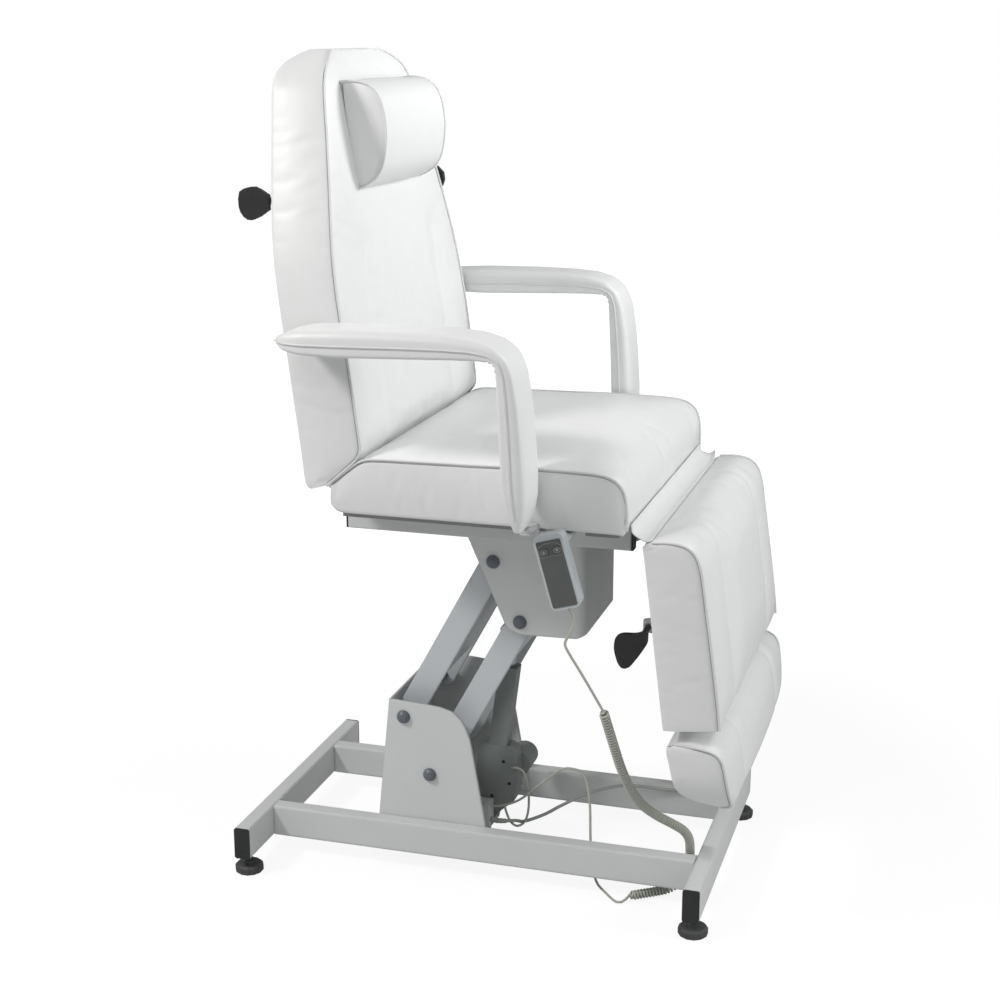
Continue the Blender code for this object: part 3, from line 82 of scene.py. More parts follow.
class FacialBedSettings(bpy.types.PropertyGroup):
    """Sizes of the dressed chair's details."""

    piping: bpy.props.FloatProperty(
        name="Piping", description="Radius of the sewn piping", default=0.0019, unit="LENGTH")
    pressure: bpy.props.FloatProperty(
        name="Padding pressure", description="How hard the foam fills the covers", default=4.0)
    puff: bpy.props.FloatProperty(
        name="Puff", description="Most that a cover swells", default=0.012, unit="LENGTH")
    curl_pitch: bpy.props.FloatProperty(
        name="Curl pitch", description="Length of cord run per curl", default=0.0060, unit="LENGTH")
    curl_radius: bpy.props.FloatProperty(
        name="Curl radius", description="Radius of a curl's centre line",
        default=0.0064, unit="LENGTH")
    cord: bpy.props.FloatProperty(
        name="Cord", description="Diameter of the hand control's cord",
        default=0.0046, unit="LENGTH")
    mains: bpy.props.FloatProperty(
        name="Mains lead", description="Diameter of the mains lead", default=0.0064, unit="LENGTH")
    lens: bpy.props.FloatProperty(
        name="Lens", description="Focal length of the camera", default=63.43, unit="CAMERA")


def settings():
    return bpy.context.scene.facial_bed


# Small tools

def linear(code):
    """sRGB hex to a linear RGBA colour."""
    parts = [int(code[i:i + 2], 16) / 255 for i in (1, 3, 5)]
    return [c / 12.92 if c <= 0.04045 else ((c + 0.055) / 1.055) ** 2.4 for c in parts] + [1.0]


def new_object(name, data):
    made = bpy.data.objects.new(name, data)
    bpy.context.scene.collection.objects.link(made)
    return made


def mesh_piece(name, verts, faces, mat, body, smooth=True):
    """A piece from points and faces, with doubled points joined and the faces turned outwards."""
    mesh = bpy.data.meshes.new(name)
    mesh.from_pydata([tuple(v) for v in verts], [], [tuple(f) for f in faces])
    bm = bmesh.new()
    bm.from_mesh(mesh)
    bmesh.ops.remove_doubles(bm, verts=bm.verts, dist=WELD)
    bmesh.ops.recalc_face_normals(bm, faces=bm.faces)
    for face in bm.faces:
        face.smooth = smooth
    bm.to_mesh(mesh)
    bm.free()
    mesh.materials.append(mat)
    piece = new_object(name, mesh)
    if body:
        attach(piece, body)
    return piece


def tube_piece(name, points, radius, mat, body, closed=False, sides=3, swell=()):
    """Round cord or piping as a curve through points."""
    data = bpy.data.curves.new(name, "CURVE")
    data.dimensions = "3D"
    data.bevel_depth = radius
    data.bevel_resolution = sides
    data.use_fill_caps = True
    line = data.splines.new("POLY")
    line.points.add(len(points) - 1)
    for spot, p in zip(line.points, points):
        spot.co = (p[0], p[1], p[2], 1.0)
    for spot, share in zip(line.points, swell):
        spot.radius = share
    line.use_cyclic_u = closed
    line.use_smooth = True
    data.materials.append(mat)
    piece = new_object(name, data)
    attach(piece, body)
    return piece


def skin(rows, count, closed=False):
    """Faces between rows of count points each; closed joins the end of each row to its start."""
    faces = []
    for i in range(rows - 1):
        for k in range(count if closed else count - 1):
            j = (k + 1) % count
            faces.append([i * count + k, i * count + j, (i + 1) * count + j, (i + 1) * count + k])
    return faces


def caps(rows, count):
    """Faces that shut the first and the last of the rows."""
    return [list(range(count)), list(range((rows - 1) * count, rows * count))]


def tube_mesh(name, points, radius, mat, body, sides=8):
    """Round cord as a mesh."""
    pts = [Vector(p) for p in points]
    verts = []
    side = Vector((0.0, 1.0, 0.0))
    for i, p in enumerate(pts):
        along = (pts[min(i + 1, len(pts) - 1)] - pts[max(i - 1, 0)]).normalized()
        side = (side - along * side.dot(along)).normalized()
        other = along.cross(side)
        for k in range(sides):
            a = 2 * math.pi * k / sides
            verts.append(p + (side * math.cos(a) + other * math.sin(a)) * radius)
    faces = skin(len(pts), sides, True) + caps(len(pts), sides)
    return mesh_piece(name, verts, faces, mat, body)


def smooth_path(points, step):
    """Points a step apart on a smooth curve through given points."""
    pts = [Vector(p) for p in points]
    pts = [pts[0] * 2 - pts[1]] + pts + [pts[-1] * 2 - pts[-2]]
    fine = []
    for i in range(1, len(pts) - 2):
        p0, p1, p2, p3 = pts[i - 1:i + 3]
        for k in range(PATH_STEPS):
            t = k / PATH_STEPS
            fine.append(0.5 * (2 * p1 + (p2 - p0) * t + (2 * p0 - 5 * p1 + 4 * p2 - p3) * t * t
                               + (3 * p1 - p0 - 3 * p2 + p3) * t ** 3))
    fine.append(pts[-2])
    return even_points(fine, max(2, round(path_length(fine) / step) + 1))


def route(table, step):
    """Smooth path through a table of measured places."""
    return smooth_path([at(*p) for p in table], step)


def even_points(fine, count):
    """A number of points at equal steps along a path."""
    steps = np.array([0.0] + [(b - a).length for a, b in zip(fine, fine[1:])]).cumsum()
    want = np.linspace(0.0, steps[-1], count)
    flat = np.array([tuple(p) for p in fine])
    even = np.stack([np.interp(want, steps, flat[:, k]) for k in range(3)], axis=1)
    return [Vector(p) for p in even]


def path_length(points):
    return sum((b - a).length for a, b in zip(points, points[1:]))


def curl_path(centre, turns, radius, per_turn=14):
    """Helix round a path, growing out of the path at one end and back into it at the other."""
    count = turns * per_turn
    line = even_points(centre, count + 1)
    side = Vector((0.0, 0.0, 1.0))
    result = []
    for i, p in enumerate(line):
        along = (line[min(i + 1, count)] - line[max(i - 1, 0)]).normalized()
        side = (side - along * side.dot(along)).normalized()
        angle = 2 * math.pi * i / per_turn
        out = side * math.cos(angle) + along.cross(side) * math.sin(angle)
        grow = min(1.0, i / per_turn, (count - i) / per_turn)
        result.append(p + out * radius * grow)
    return result


# Finishes

MATERIALS = {}
# Leather grain of the vinyl, drawn coarser than the real 0.6 mm so that it shows
GRAIN_MM = 1.4
# Bends of the folded sheet and corners of the tubes
BEND = 0.006


def finish(name):
    if name not in MATERIALS:
        maker, *values = MAKERS[name]
        MATERIALS[name] = maker(*values)
    return MATERIALS[name]


def add(tree, kind, inputs=None, **values):
    """Adds a node, sets its values, and fills each named input with a number or a link."""
    node = tree.nodes.new(kind)
    for name, value in values.items():
        setattr(node, name, value)
    for key, value in (inputs or {}).items():
        if isinstance(value, bpy.types.NodeSocket):
            tree.links.new(value, node.inputs[key])
        else:
            node.inputs[key].default_value = value
    return node


def new_material(name):
    """A material, its tree, its shader and the coordinates for its patterns."""
    made = bpy.data.materials.new(name)
    made.use_nodes = True
    tree = made.node_tree
    place = add(tree, "ShaderNodeTexCoord").outputs["Object"]
    return made, tree, tree.nodes["Principled BSDF"], place


def noise(tree, place, size_mm, detail):
    """Noise with features of one size."""
    inputs = {"Vector": place, "Scale": 1000 / size_mm, "Detail": detail}
    return add(tree, "ShaderNodeTexNoise", inputs).outputs["Fac"]


def colour(tree, shader, pattern, tint, shade):
    """Base colour that drifts from tint to shade with a pattern."""
    tones = {"Fac": pattern, "Color1": linear(tint), "Color2": linear(shade)}
    tone = add(tree, "ShaderNodeMixRGB", tones)
    tree.links.new(tone.outputs["Color"], shader.inputs["Base Color"])


def sheen(tree, shader, pattern, low, high):
    """Roughness that drifts from low to high with a pattern."""
    rough = add(tree, "ShaderNodeMapRange", {"Value": pattern, "To Min": low, "To Max": high})
    tree.links.new(rough.outputs["Result"], shader.inputs["Roughness"])


def relief(tree, pattern, strength, depth, **under):
    """Bump from a pattern, over the Normal given under it."""
    inputs = {"Height": pattern, "Strength": strength, "Distance": depth, **under}
    return add(tree, "ShaderNodeBump", inputs).outputs["Normal"]


def calendered_vinyl(name, tint, grain):
    """PVC upholstery vinyl, embossed with a leather grain: soft sheen, uneven over the foam."""
    made, tree, shader, place = new_material(name)
    cells = add(tree, "ShaderNodeTexVoronoi", {"Vector": place, "Scale": 1000 / GRAIN_MM},
                feature="SMOOTH_F1")
    foam = noise(tree, place, size_mm=35.0, detail=3.0)
    colour(tree, shader, foam, tint, grain)
    sheen(tree, shader, foam, low=0.36, high=0.50)
    low = relief(tree, foam, strength=0.10, depth=0.004)
    fine = relief(tree, cells.outputs["Distance"], strength=0.10, depth=0.0004, Normal=low)
    tree.links.new(fine, shader.inputs["Normal"])
    shader.inputs["IOR"].default_value = 1.52
    return made


def powder_coat(name, tint, shade):
    """Baked polyester powder on steel: satin, with the slight orange peel of melted powder."""
    made, tree, shader, place = new_material(name)
    peel = noise(tree, place, size_mm=1.6, detail=2.0)
    wear = noise(tree, place, size_mm=80.0, detail=4.0)
    colour(tree, shader, wear, tint, shade)
    sheen(tree, shader, wear, low=0.38, high=0.48)
    bend = add(tree, "ShaderNodeBevel", {"Radius": BEND}, samples=4)
    fine = relief(tree, peel, strength=0.06, depth=0.0004, Normal=bend.outputs["Normal"])
    tree.links.new(fine, shader.inputs["Normal"])
    return made


def moulded_plastic(name, tint, shade, texture_mm, rough_low, rough_high, strength=0.12):
    """Injection-moulded plastic with a spark-eroded texture from the mould."""
    made, tree, shader, place = new_material(name)
    spark = noise(tree, place, texture_mm, detail=2.0)
    handled = noise(tree, place, size_mm=20.0, detail=3.0)
    colour(tree, shader, handled, tint, shade)
    sheen(tree, shader, handled, rough_low, rough_high)
    fine = relief(tree, spark, strength, depth=0.0003)
    tree.links.new(fine, shader.inputs["Normal"])
    return made


def zinc_plate():
    """Bright zinc on drawn steel bar: fine scratches along the bar, cloudy sheen."""
    made, tree, shader, place = new_material("zinc_plated_steel")
    drawn = add(tree, "ShaderNodeMapping", {"Vector": place, "Scale": (1.0, 1.0, 0.05)})
    scratches = noise(tree, drawn.outputs["Vector"], size_mm=1.2, detail=2.0)
    sheen(tree, shader, scratches, low=0.24, high=0.42)
    shader.inputs["Base Color"].default_value = linear("#BFC3C6")
    shader.inputs["Metallic"].default_value = 1.0
    return made


def painted_plywood():
    """Plywood under a thin grey paint: the grain across the seat still shows in the tone."""
    made, tree, shader, place = new_material("grey_painted_plywood")
    long = add(tree, "ShaderNodeMapping", {"Vector": place, "Scale": (1.0, 0.08, 1.0)})
    grain = noise(tree, long.outputs["Vector"], size_mm=4.0, detail=4.0)
    colour(tree, shader, grain, "#969794", "#8B8C89")
    shader.inputs["Roughness"].default_value = 0.7
    return made


# Finishes: maker, name and two tones; for plastics also the texture's size in mm,
# the roughness from and to, and the texture's strength
MAKERS = {
    "vinyl": (calendered_vinyl, "white_upholstery_vinyl", "#E6E7E7", "#E1E2E2"),
    "piping": (calendered_vinyl, "vinyl_piping", "#E0E1E1", "#D7D8D8"),
    # Dark vinyl tone for the lines of painted shade in the grooves beside the piping and behind the
    # pillow's ends
    "groove_shade": (calendered_vinyl, "vinyl_painted_groove_shade", "#ACADAD", "#A2A3A3"),
    "frame": (powder_coat, "light_grey_powder_coat", "#D9DBDB", "#D2D4D4"),
    "arms": (powder_coat, "blue_grey_powder_coat", "#CCD1D4", "#C5CACD"),
    "black": (moulded_plastic, "black_moulded_plastic", "#1D1F1E", "#282A29", 0.8, 0.40, 0.55),
    "foot": (moulded_plastic, "dark_grey_foot_rubber", "#4A4C4B", "#3F4140", 1.2, 0.55, 0.75),
    "pin_cap": (moulded_plastic, "blue_grey_cap_plastic", "#6C727A", "#5F656D", 0.9, 0.34, 0.48),
    "actuator": (moulded_plastic, "grey_actuator_plastic", "#8B908F", "#808584", 0.9, 0.42, 0.58),
    "handset": (moulded_plastic, "pale_handset_plastic", "#BFC6C9", "#B8BFC2",
                0.7, 0.34, 0.46, 0.06),
    "membrane": (moulded_plastic, "keypad_film", "#5A5C5C", "#535555", 0.5, 0.38, 0.48, 0.05),
    "icon": (moulded_plastic, "keypad_print", "#A9ACAD", "#A2A5A6", 0.5, 0.45, 0.55, 0.02),
    "cord": (moulded_plastic, "grey_cord_jacket", "#B9BCB2", "#AEB1A7", 0.6, 0.40, 0.55, 0.05),
    "mains": (moulded_plastic, "grey_mains_jacket", "#A9ACA8", "#9EA19D", 0.6, 0.42, 0.56, 0.05),
    "zinc": (zinc_plate,),
    "plywood": (painted_plywood,),
}

# Stage and camera

CAMERA_AT = (0.898, -2.999, 1.517)
CAMERA_DOWN = 14.88
CAMERA_TURN = 16.77
SENSOR = 36.0
FLOOR_HALF = 9.0
# Lamps: name, place, aim, diameter, watts, tint, spread in degrees
LAMPS = (
    ("key", (-2.0, -1.9, 2.85), (-0.1, -0.2, 0.8), 0.55, 52.0, "#FFFDFB", 180.0),
    ("front", (0.1, -2.7, 3.0), (0.0, 0.0, 0.5), 1.8, 14.0, "#FFFFFF", 180.0),
    ("side", (1.3, 0.55, 2.1), (-0.6, 0.0, 1.5), 0.6, 9.5, "#FFFFFF", 110.0),
    ("low", (1.9, -0.3, 1.0), (0.4, 0.0, 0.6), 0.9, 10.0, "#FFFFFF", 180.0),
)


def build_camera():
    data = bpy.data.cameras.new("camera")
    data.lens = settings().lens
    data.sensor_width = SENSOR
    camera = new_object("camera", data)
    camera.location = at(*CAMERA_AT)
    camera.rotation_euler = (math.radians(90.0 - CAMERA_DOWN), 0.0, math.radians(CAMERA_TURN))
    bpy.context.scene.camera = camera


def build_world():
    """White paper to the camera, a softer room to everything else."""
    world = bpy.data.worlds.new("studio")
    world.use_nodes = True
    tree = world.node_tree
    tree.nodes.clear()
    ray = add(tree, "ShaderNodeLightPath").outputs
    seen = add(tree, "ShaderNodeMath", {0: ray["Is Camera Ray"], 1: ray["Is Transmission Ray"]},
               operation="MAXIMUM")
    room = add(tree, "ShaderNodeBackground", {"Color": linear("#F7F7F7"), "Strength": 0.40})
    paper = add(tree, "ShaderNodeBackground", {"Color": WHITE, "Strength": 1.0})
    both = add(tree, "ShaderNodeMixShader", {"Fac": seen.outputs["Value"],
                                             1: room.outputs["Background"],
                                             2: paper.outputs["Background"]})
    add(tree, "ShaderNodeOutputWorld", {"Surface": both.outputs["Shader"]})
    bpy.context.scene.world = world


def build_floor():
    """Paper sweep with a soft shadow."""
    made = bpy.data.materials.new("white_paper_floor")
    made.use_nodes = True
    tree = made.node_tree
    tree.nodes.clear()
    ray = add(tree, "ShaderNodeLightPath").outputs
    matt = add(tree, "ShaderNodeBsdfDiffuse", {"Color": linear("#D4D5D5")})
    glow = add(tree, "ShaderNodeEmission", {"Color": WHITE, "Strength": 1.16})
    # the sweep's lit paper takes the shadow near the feet and runs out to white by 2.6 m
    place = add(tree, "ShaderNodeTexCoord").outputs["Object"]
    away = add(tree, "ShaderNodeVectorMath", {0: place}, operation="LENGTH")
    fade = add(tree, "ShaderNodeMapRange", {"Value": away.outputs["Value"], "From Min": 0.9,
                                            "From Max": 2.6, "To Min": 0.76, "To Max": 1.0})
    share = add(tree, "ShaderNodeMath", {0: ray["Is Camera Ray"], 1: fade.outputs["Result"]},
                operation="MULTIPLY")
    both = add(tree, "ShaderNodeMixShader", {"Fac": share.outputs["Value"],
                                             1: matt.outputs["BSDF"],
                                             2: glow.outputs["Emission"]})
    add(tree, "ShaderNodeOutputMaterial", {"Surface": both.outputs["Shader"]})
    half = FLOOR_HALF
    mesh = bpy.data.meshes.new("floor")
    mesh.from_pydata([(-half, -half, 0), (half, -half, 0), (half, half, 0), (-half, half, 0)],
                     [], [(0, 1, 2, 3)])
    mesh.materials.append(made)
    floor = new_object("floor", mesh)


def build_lamp(name, place, aim, size, energy, tint, spread):
    data = bpy.data.lights.new(name, "AREA")
    data.shape = "DISK"
    data.size = size
    data.energy = energy
    data.spread = math.radians(spread)
    data.color = linear(tint)[:3]
    lamp = new_object(name, data)
    lamp.location = place
    lamp.rotation_euler = (Vector(aim) - Vector(place)).to_track_quat("-Z", "Y").to_euler()


# Cords

HANDSET_ROUTE = [
    (0.2206, -0.365, 0.6154), (0.2226, -0.365, 0.6094), (0.2290, -0.365, 0.598),
    (0.2265, -0.365, 0.578), (0.2185, -0.365, 0.562), (0.2150, -0.364, 0.553),
    (0.2180, -0.362, 0.540), (0.2440, -0.345, 0.486), (0.2725, -0.330, 0.4275),
]
CURL_ROUTE = [
    (0.2725, -0.330, 0.4275), (0.2820, -0.302, 0.3660), (0.2917, -0.272, 0.3040),
    (0.3036, -0.243, 0.2525), (0.3191, -0.213, 0.2123), (0.3387, -0.185, 0.1834),
    (0.3611, -0.160, 0.1599), (0.3784, -0.140, 0.1396), (0.3860, -0.124, 0.1167),
    (0.3863, -0.112, 0.0876), (0.3830, -0.104, 0.0536), (0.3717, -0.104, 0.0261),
    (0.3509, -0.118, 0.0115), (0.3289, -0.136, 0.0105), (0.3065, -0.152, 0.0105),
    (0.2873, -0.166, 0.0105),
]
FLOOR_ROUTE = [
    (0.2873, -0.166, 0.0105), (0.279, -0.180, 0.005), (0.266, -0.181, 0.0035),
    (0.240, -0.152, 0.0035), (0.218, -0.125, 0.006), (0.206, -0.112, 0.030),
    (0.199, -0.102, 0.082), (0.190, -0.075, 0.140), (0.174, -0.052, 0.182),
    (0.150, -0.050, 0.192), (0.126, -0.050, 0.186), (0.085, -0.050, 0.150),
    (0.049, -0.050, 0.117), (0.015, -0.050, 0.100), (-0.0094, -0.050, 0.096),
]
# Where the curls come to lie on the floor
FLOOR_TOUCH = (0.3717, -0.104, 0.0261)


def build_handset_cord():
    """Straight drop from the hand control, curls to the floor, straight run back to the socket."""
    s = settings()
    head = route(HANDSET_ROUTE, step=0.006)
    centre = route(CURL_ROUTE, step=0.004)
    curls = curl_path(centre, round(path_length(centre) / s.curl_pitch), s.curl_radius)
    tail = route(FLOOR_ROUTE, step=0.010)
    touch = at(*FLOOR_TOUCH)
    split = min(range(len(curls)), key=lambda i: (curls[i] - touch).length)
    upper = head[:-1] + curls[:split + 1]
    lower = curls[split:] + tail[1:]
    radius = s.cord / 2
    hang = tube_mesh("handset_cord_hanging", upper, radius, finish("cord"), "base")
    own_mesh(hang)
    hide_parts("handset_cord")
    floor = tube_piece("handset_cord_floor", lower, radius, finish("cord"), "base")
    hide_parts("handset_cord")


MAINS_ROUTE = [
    (-0.0094, -0.045, 0.066), (0.010, -0.0415, 0.064), (0.036, -0.030, 0.063),
    (0.050, -0.0195, 0.0588), (0.085, -0.001, 0.070), (0.110, 0.014, 0.083),
    (0.156, 0.050, 0.100), (0.208, 0.098, 0.102), (0.250, 0.118, 0.097), (0.290, 0.1275, 0.092),
    (0.325, 0.1305, 0.0935), (0.386, 0.1335, 0.09776),
]
# The put-away hank: ends at x, middle in y, lowest z, end radius, rise per loop, loops
HANK_X = (0.348, 0.408)
HANK_Y = 0.1532
HANK_Z = 0.1010
HANK_R = 0.0192
HANK_RISE = 0.0072
HANK_LOOPS = 5
HANK_TOP = HANK_Z + HANK_RISE * (HANK_LOOPS + 0.3)
LOOP_STEPS = 32
# From the hank's last point to the plug
PLUG_TAIL = [(-0.010, -0.0004, 0.0030), (-0.020, -0.0012, 0.0085), (-0.030, -0.0018, 0.0130),
             (-0.038, -0.0020, 0.0143), (-0.045, -0.0020, 0.0143)]
# Ribs of the sleeve at the socket, as shares of the lead's radius along its first 16 points
SLEEVE_SWELL = [1.9, 1.85, 1.55, 1.75, 1.45, 1.6, 1.35, 1.45, 1.1]
SLEEVE_POINTS = 16
TIE_X = 0.390
TIE_R = 0.0008
TIE_GAP = 0.001


def hank_point(turn):
    """Place on the hank after a number of loops."""
    angle = 2 * math.pi * turn
    x = HANK_X[1] if math.cos(angle) >= -1e-9 else HANK_X[0]
    return at(x + HANK_R * math.cos(angle), HANK_Y + HANK_R * math.sin(angle),
              HANK_Z + HANK_RISE * turn)


def build_mains_lead():
    """Lead along the far rail to a hank on top of it, with the plug laid on the hank."""
    s = settings()
    run = [at(*p) for p in MAINS_ROUTE]
    run += [hank_point(-0.25), hank_point(-0.125), hank_point(0.0)]
    last = HANK_LOOPS * LOOP_STEPS + LOOP_STEPS // 4
    loops = [hank_point(k / LOOP_STEPS) for k in range(1, last + 1)]
    tail = [loops[-1] + Vector(v) for v in PLUG_TAIL]
    points = smooth_path(run, step=0.012) + loops + tail
    edge = s.mains / 2
    lead = tube_piece("mains_lead_jacket", points, edge, finish("mains"), "base")
    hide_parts("mains_lead")
    sleeve = even_points(smooth_path(run[:3], step=0.002)[:SLEEVE_POINTS], len(SLEEVE_SWELL))
    tube_piece("mains_sleeve", sleeve, edge, finish("mains"), "base",
               swell=SLEEVE_SWELL)
    low, high = HANK_Z - edge - TIE_R, HANK_TOP + edge + TIE_GAP
    near, far = HANK_Y - HANK_R - edge - TIE_GAP, HANK_Y + HANK_R + edge + TIE_GAP
    band = [at(TIE_X, y, z) for y, z in ((near, low), (far, low), (far, high), (near, high))]
    tube_piece("hank_tie", band, TIE_R, finish("black"), "base", True, 1)


MOTOR_ROUTE = [
    (0.0260, -0.0268, 0.170), (0.0300, -0.0297, 0.1712), (0.0380, -0.0300, 0.1710),
    (0.0500, -0.0300, 0.164), (0.0590, -0.0300, 0.133), (0.0600, -0.0300, 0.092),
    (0.0530, -0.0300, 0.064), (0.0380, -0.0300, 0.052), (0.0240, -0.0300, 0.060),
    (0.0145, -0.0297, 0.082), (0.0125, -0.0268, 0.090),
]
MOTOR_ENDS = ((0.0260, -0.0229, 0.170), (0.0125, -0.0229, 0.090))


def build_motor_lead():
    """Short lead in a loop on the actuator."""
    start, end = [at(*p) for p in MOTOR_ENDS]
    points = [start] + route(MOTOR_ROUTE, step=0.005) + [end]
    radius = settings().cord / 2
    lead = tube_piece("motor_lead_jacket", points, radius, finish("cord"), "actuator")
    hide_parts("motor_lead")


# Upholstery

# Points across a cover's panels and through its depth
ACROSS = 65
DEEP = 13
# Front panel: steepness of the crown, width of the rolled edge, how soon it starts at the ends
CROWN_POWER = 2.4
ROLL_WIDTH = 0.012
END_FADE = 12
# Stitched channels down a front panel: distance from the middle, width, share of the lift they take
CHANNELS = (0.180,)
CHANNEL_WIDTH = 0.010
CHANNEL_DEPTH = 0.85
# Swell of the side panels
BULGE = 0.003
CLOTH_STEPS = 20
# Piping and the dark line of painted shade in the groove beside it: how far they stand out, how far
# the shade line lies beside the edge
SEAM_OUT = 0.0012
SHADE_LINE_OUT = 0.0006
SHADE_LINE_DROP = 0.0032
SHADE_LINE_R = 0.0007


def stations(table, count, passes=4):
    """Even rows (front x, z, back x, z, half width, crown, channel) along a cushion's front."""
    rows = np.array(table, float)
    rows[:, 0] -= SHIFT
    rows[:, 2] -= SHIFT
    steps = np.concatenate([[0.0], np.hypot(*np.diff(rows[:, :2], axis=0).T)]).cumsum()
    want = np.linspace(0.0, steps[-1], count)
    even = np.stack([np.interp(want, steps, rows[:, k]) for k in range(rows.shape[1])], axis=1)
    for _ in range(passes):
        even[1:-1] = 0.25 * even[:-2] + 0.5 * even[1:-1] + 0.25 * even[2:]
    return even


def front_normals(rows):
    """Directions out of a cushion's front, in x and z."""
    along = np.gradient(rows[:, :2], axis=0)
    along /= np.linalg.norm(along, axis=1)[:, None]
    normal = np.stack([-along[:, 1], along[:, 0]], axis=1)
    away = ((rows[:, :2] - rows[:, 2:4]) * normal).sum(axis=1)
    normal[away < 0] *= -1
    return normal


def wall_between(front, back):
    """Grid of points from the edge of a front panel to the edge of a back panel."""
    depth = np.linspace(0.0, 1.0, DEEP)[None, :, None]
    return front[:, None, :] * (1 - depth) + back[:, None, :] * depth


class Cover:
    """Panels of one upholstered block: front, back, two sides and two ends, as grids of points."""

    def __init__(self, table, count, roll=0.004, channels=()):
        rows = stations(table, count)
        shares = np.linspace(-1.0, 1.0, ACROSS)
        self.normal = front_normals(rows)
        self.front = np.zeros((count, ACROSS, 3))
        self.back = np.zeros((count, ACROSS, 3))
        self.sewn = np.zeros((count, ACROSS), bool)
        for i, (fx, fz, bx, bz, half, crown, channel) in enumerate(rows):
            y = shares * half
            edge = (1 - np.abs(shares)) * half
            ends = min(i, count - 1 - i) / (count - 1)
            rolled = roll * (1 - np.exp(-edge / ROLL_WIDTH)) * min(1.0, ends * END_FADE)
            lift = crown * (1 - np.abs(shares) ** CROWN_POWER) + rolled
            for line in channels:
                off = np.abs(np.abs(y) - line)
                lift *= 1 - CHANNEL_DEPTH * channel * np.exp(-((off / CHANNEL_WIDTH) ** 2))
                self.sewn[i] |= (off < half / ACROSS) & (channel > 0.5)
            nx, nz = self.normal[i]
            self.front[i] = np.stack([fx + nx * lift, y, fz + nz * lift], axis=1)
            self.back[i] = np.stack([np.full(ACROSS, bx), y, np.full(ACROSS, bz)], axis=1)
        swell = BULGE * np.sin(np.pi * np.linspace(0.0, 1.0, DEEP))
        self.sides = []
        for edge, sign in ((0, -1.0), (-1, 1.0)):
            wall = wall_between(self.front[:, edge], self.back[:, edge])
            wall[:, 1:-1, 1] += sign * swell[None, 1:-1]
            self.sides.append(wall)
        self.ends = [wall_between(self.front[end], self.back[end]) for end in (0, -1)]

    def build(self, name, mat, body):
        """The cover as one piece, and the points where it is sewn down."""
        verts, faces, sewn = [], [], []
        panels = [(self.front, self.sewn), (self.back, True)]
        panels += [(grid, False) for grid in self.sides + self.ends]
        for grid, fixed in panels:
            start = len(verts)
            n, m = grid.shape[:2]
            verts += list(grid.reshape(-1, 3))
            hold = np.zeros((n, m), bool) | fixed
            hold[0] = hold[-1] = True
            hold[:, 0] = hold[:, -1] = True
            sewn += list(grid[hold])
            faces += [[start + k for k in face] for face in skin(n, m)]
        piece = mesh_piece(name, verts, faces, mat, body)
        return piece, np.array(sewn)

    def seam(self, side, out, drop=0.0):
        """Line along one side of the front panel, stood out and dropped onto the side panel."""
        edge = 0 if side < 0 else -1
        line = self.front[:, edge].copy()
        line[:, 1] += side * out
        line[:, 0] += self.normal[:, 0] * (out - drop)
        line[:, 2] += self.normal[:, 1] * (out - drop)
        return [Vector(p) for p in line]


def inflate(piece, sewn, pressure, puff):
    """The cover swells over its foam between sewn lines, no further than puff."""
    mesh = piece.data
    rest = np.zeros(len(mesh.vertices) * 3)
    mesh.vertices.foreach_get("co", rest)
    rest = rest.reshape(-1, 3)
    known = {tuple(np.round(p, 4)) for p in sewn}
    held = [i for i, p in enumerate(rest) if tuple(np.round(p, 4)) in known]
    group = piece.vertex_groups.new(name="sewn")
    group.add(held, 1.0, "REPLACE")
    cloth = piece.modifiers.new("padding", "CLOTH")
    cover = cloth.settings
    cover.vertex_group_mass = "sewn"
    cover.quality = 4
    cover.mass = 0.3
    cover.tension_stiffness = 15.0
    cover.compression_stiffness = 15.0
    cover.bending_stiffness = 0.6
    cover.use_pressure = True
    cover.uniform_pressure_force = pressure
    cover.shrink_min = -0.003
    cover.effector_weights.gravity = 0.0
    cloth.collision_settings.use_collision = False
    scene = bpy.context.scene
    for step in range(CLOTH_STEPS):
        scene.frame_set(step + 1)
    graph = bpy.context.evaluated_depsgraph_get()
    swollen = np.zeros(len(rest) * 3)
    piece.evaluated_get(graph).data.vertices.foreach_get("co", swollen)
    move = swollen.reshape(-1, 3) - rest
    size = np.linalg.norm(move, axis=1)
    move *= np.minimum(1.0, puff / np.maximum(size, 1e-9))[:, None]
    piece.modifiers.remove(cloth)
    piece.vertex_groups.remove(group)
    mesh.vertices.foreach_set("co", (rest + move).ravel())
    mesh.update()
    scene.frame_set(1)


def soften(piece):
    step = piece.modifiers.new("soft", "SUBSURF")
    step.levels = 1
    step.render_levels = 1


def upholster(name, node, body, cover, puff=None):
    """A cover over a cushion, swollen by its foam."""
    s = settings()
    piece, sewn = cover.build(name, finish("vinyl"), body)
    inflate(piece, sewn, s.pressure, puff or s.puff)
    soften(piece)
    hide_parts(node)


def pipe(name, points, body):
    tube_piece(name, points, settings().piping, finish("piping"), body)


def groove_shade(name, points, body, radius=SHADE_LINE_R):
    """Dark tube of painted shade in the groove where a panel is pulled in beside its piping."""
    tube_piece(name, points, radius, finish("groove_shade"), body, sides=1)


def sew(cover, name, body):
    """Piping, and a dark line of painted shade in the groove beside it, down both sides of a cover.
    """
    for side, word in SIDES:
        pipe("%s_piping_%s" % (name, word), cover.seam(side, SEAM_OUT), body)
        seam_shade = cover.seam(side, SHADE_LINE_OUT, SHADE_LINE_DROP)
        groove_shade("%s_stitches_%s" % (name, word), seam_shade, body)


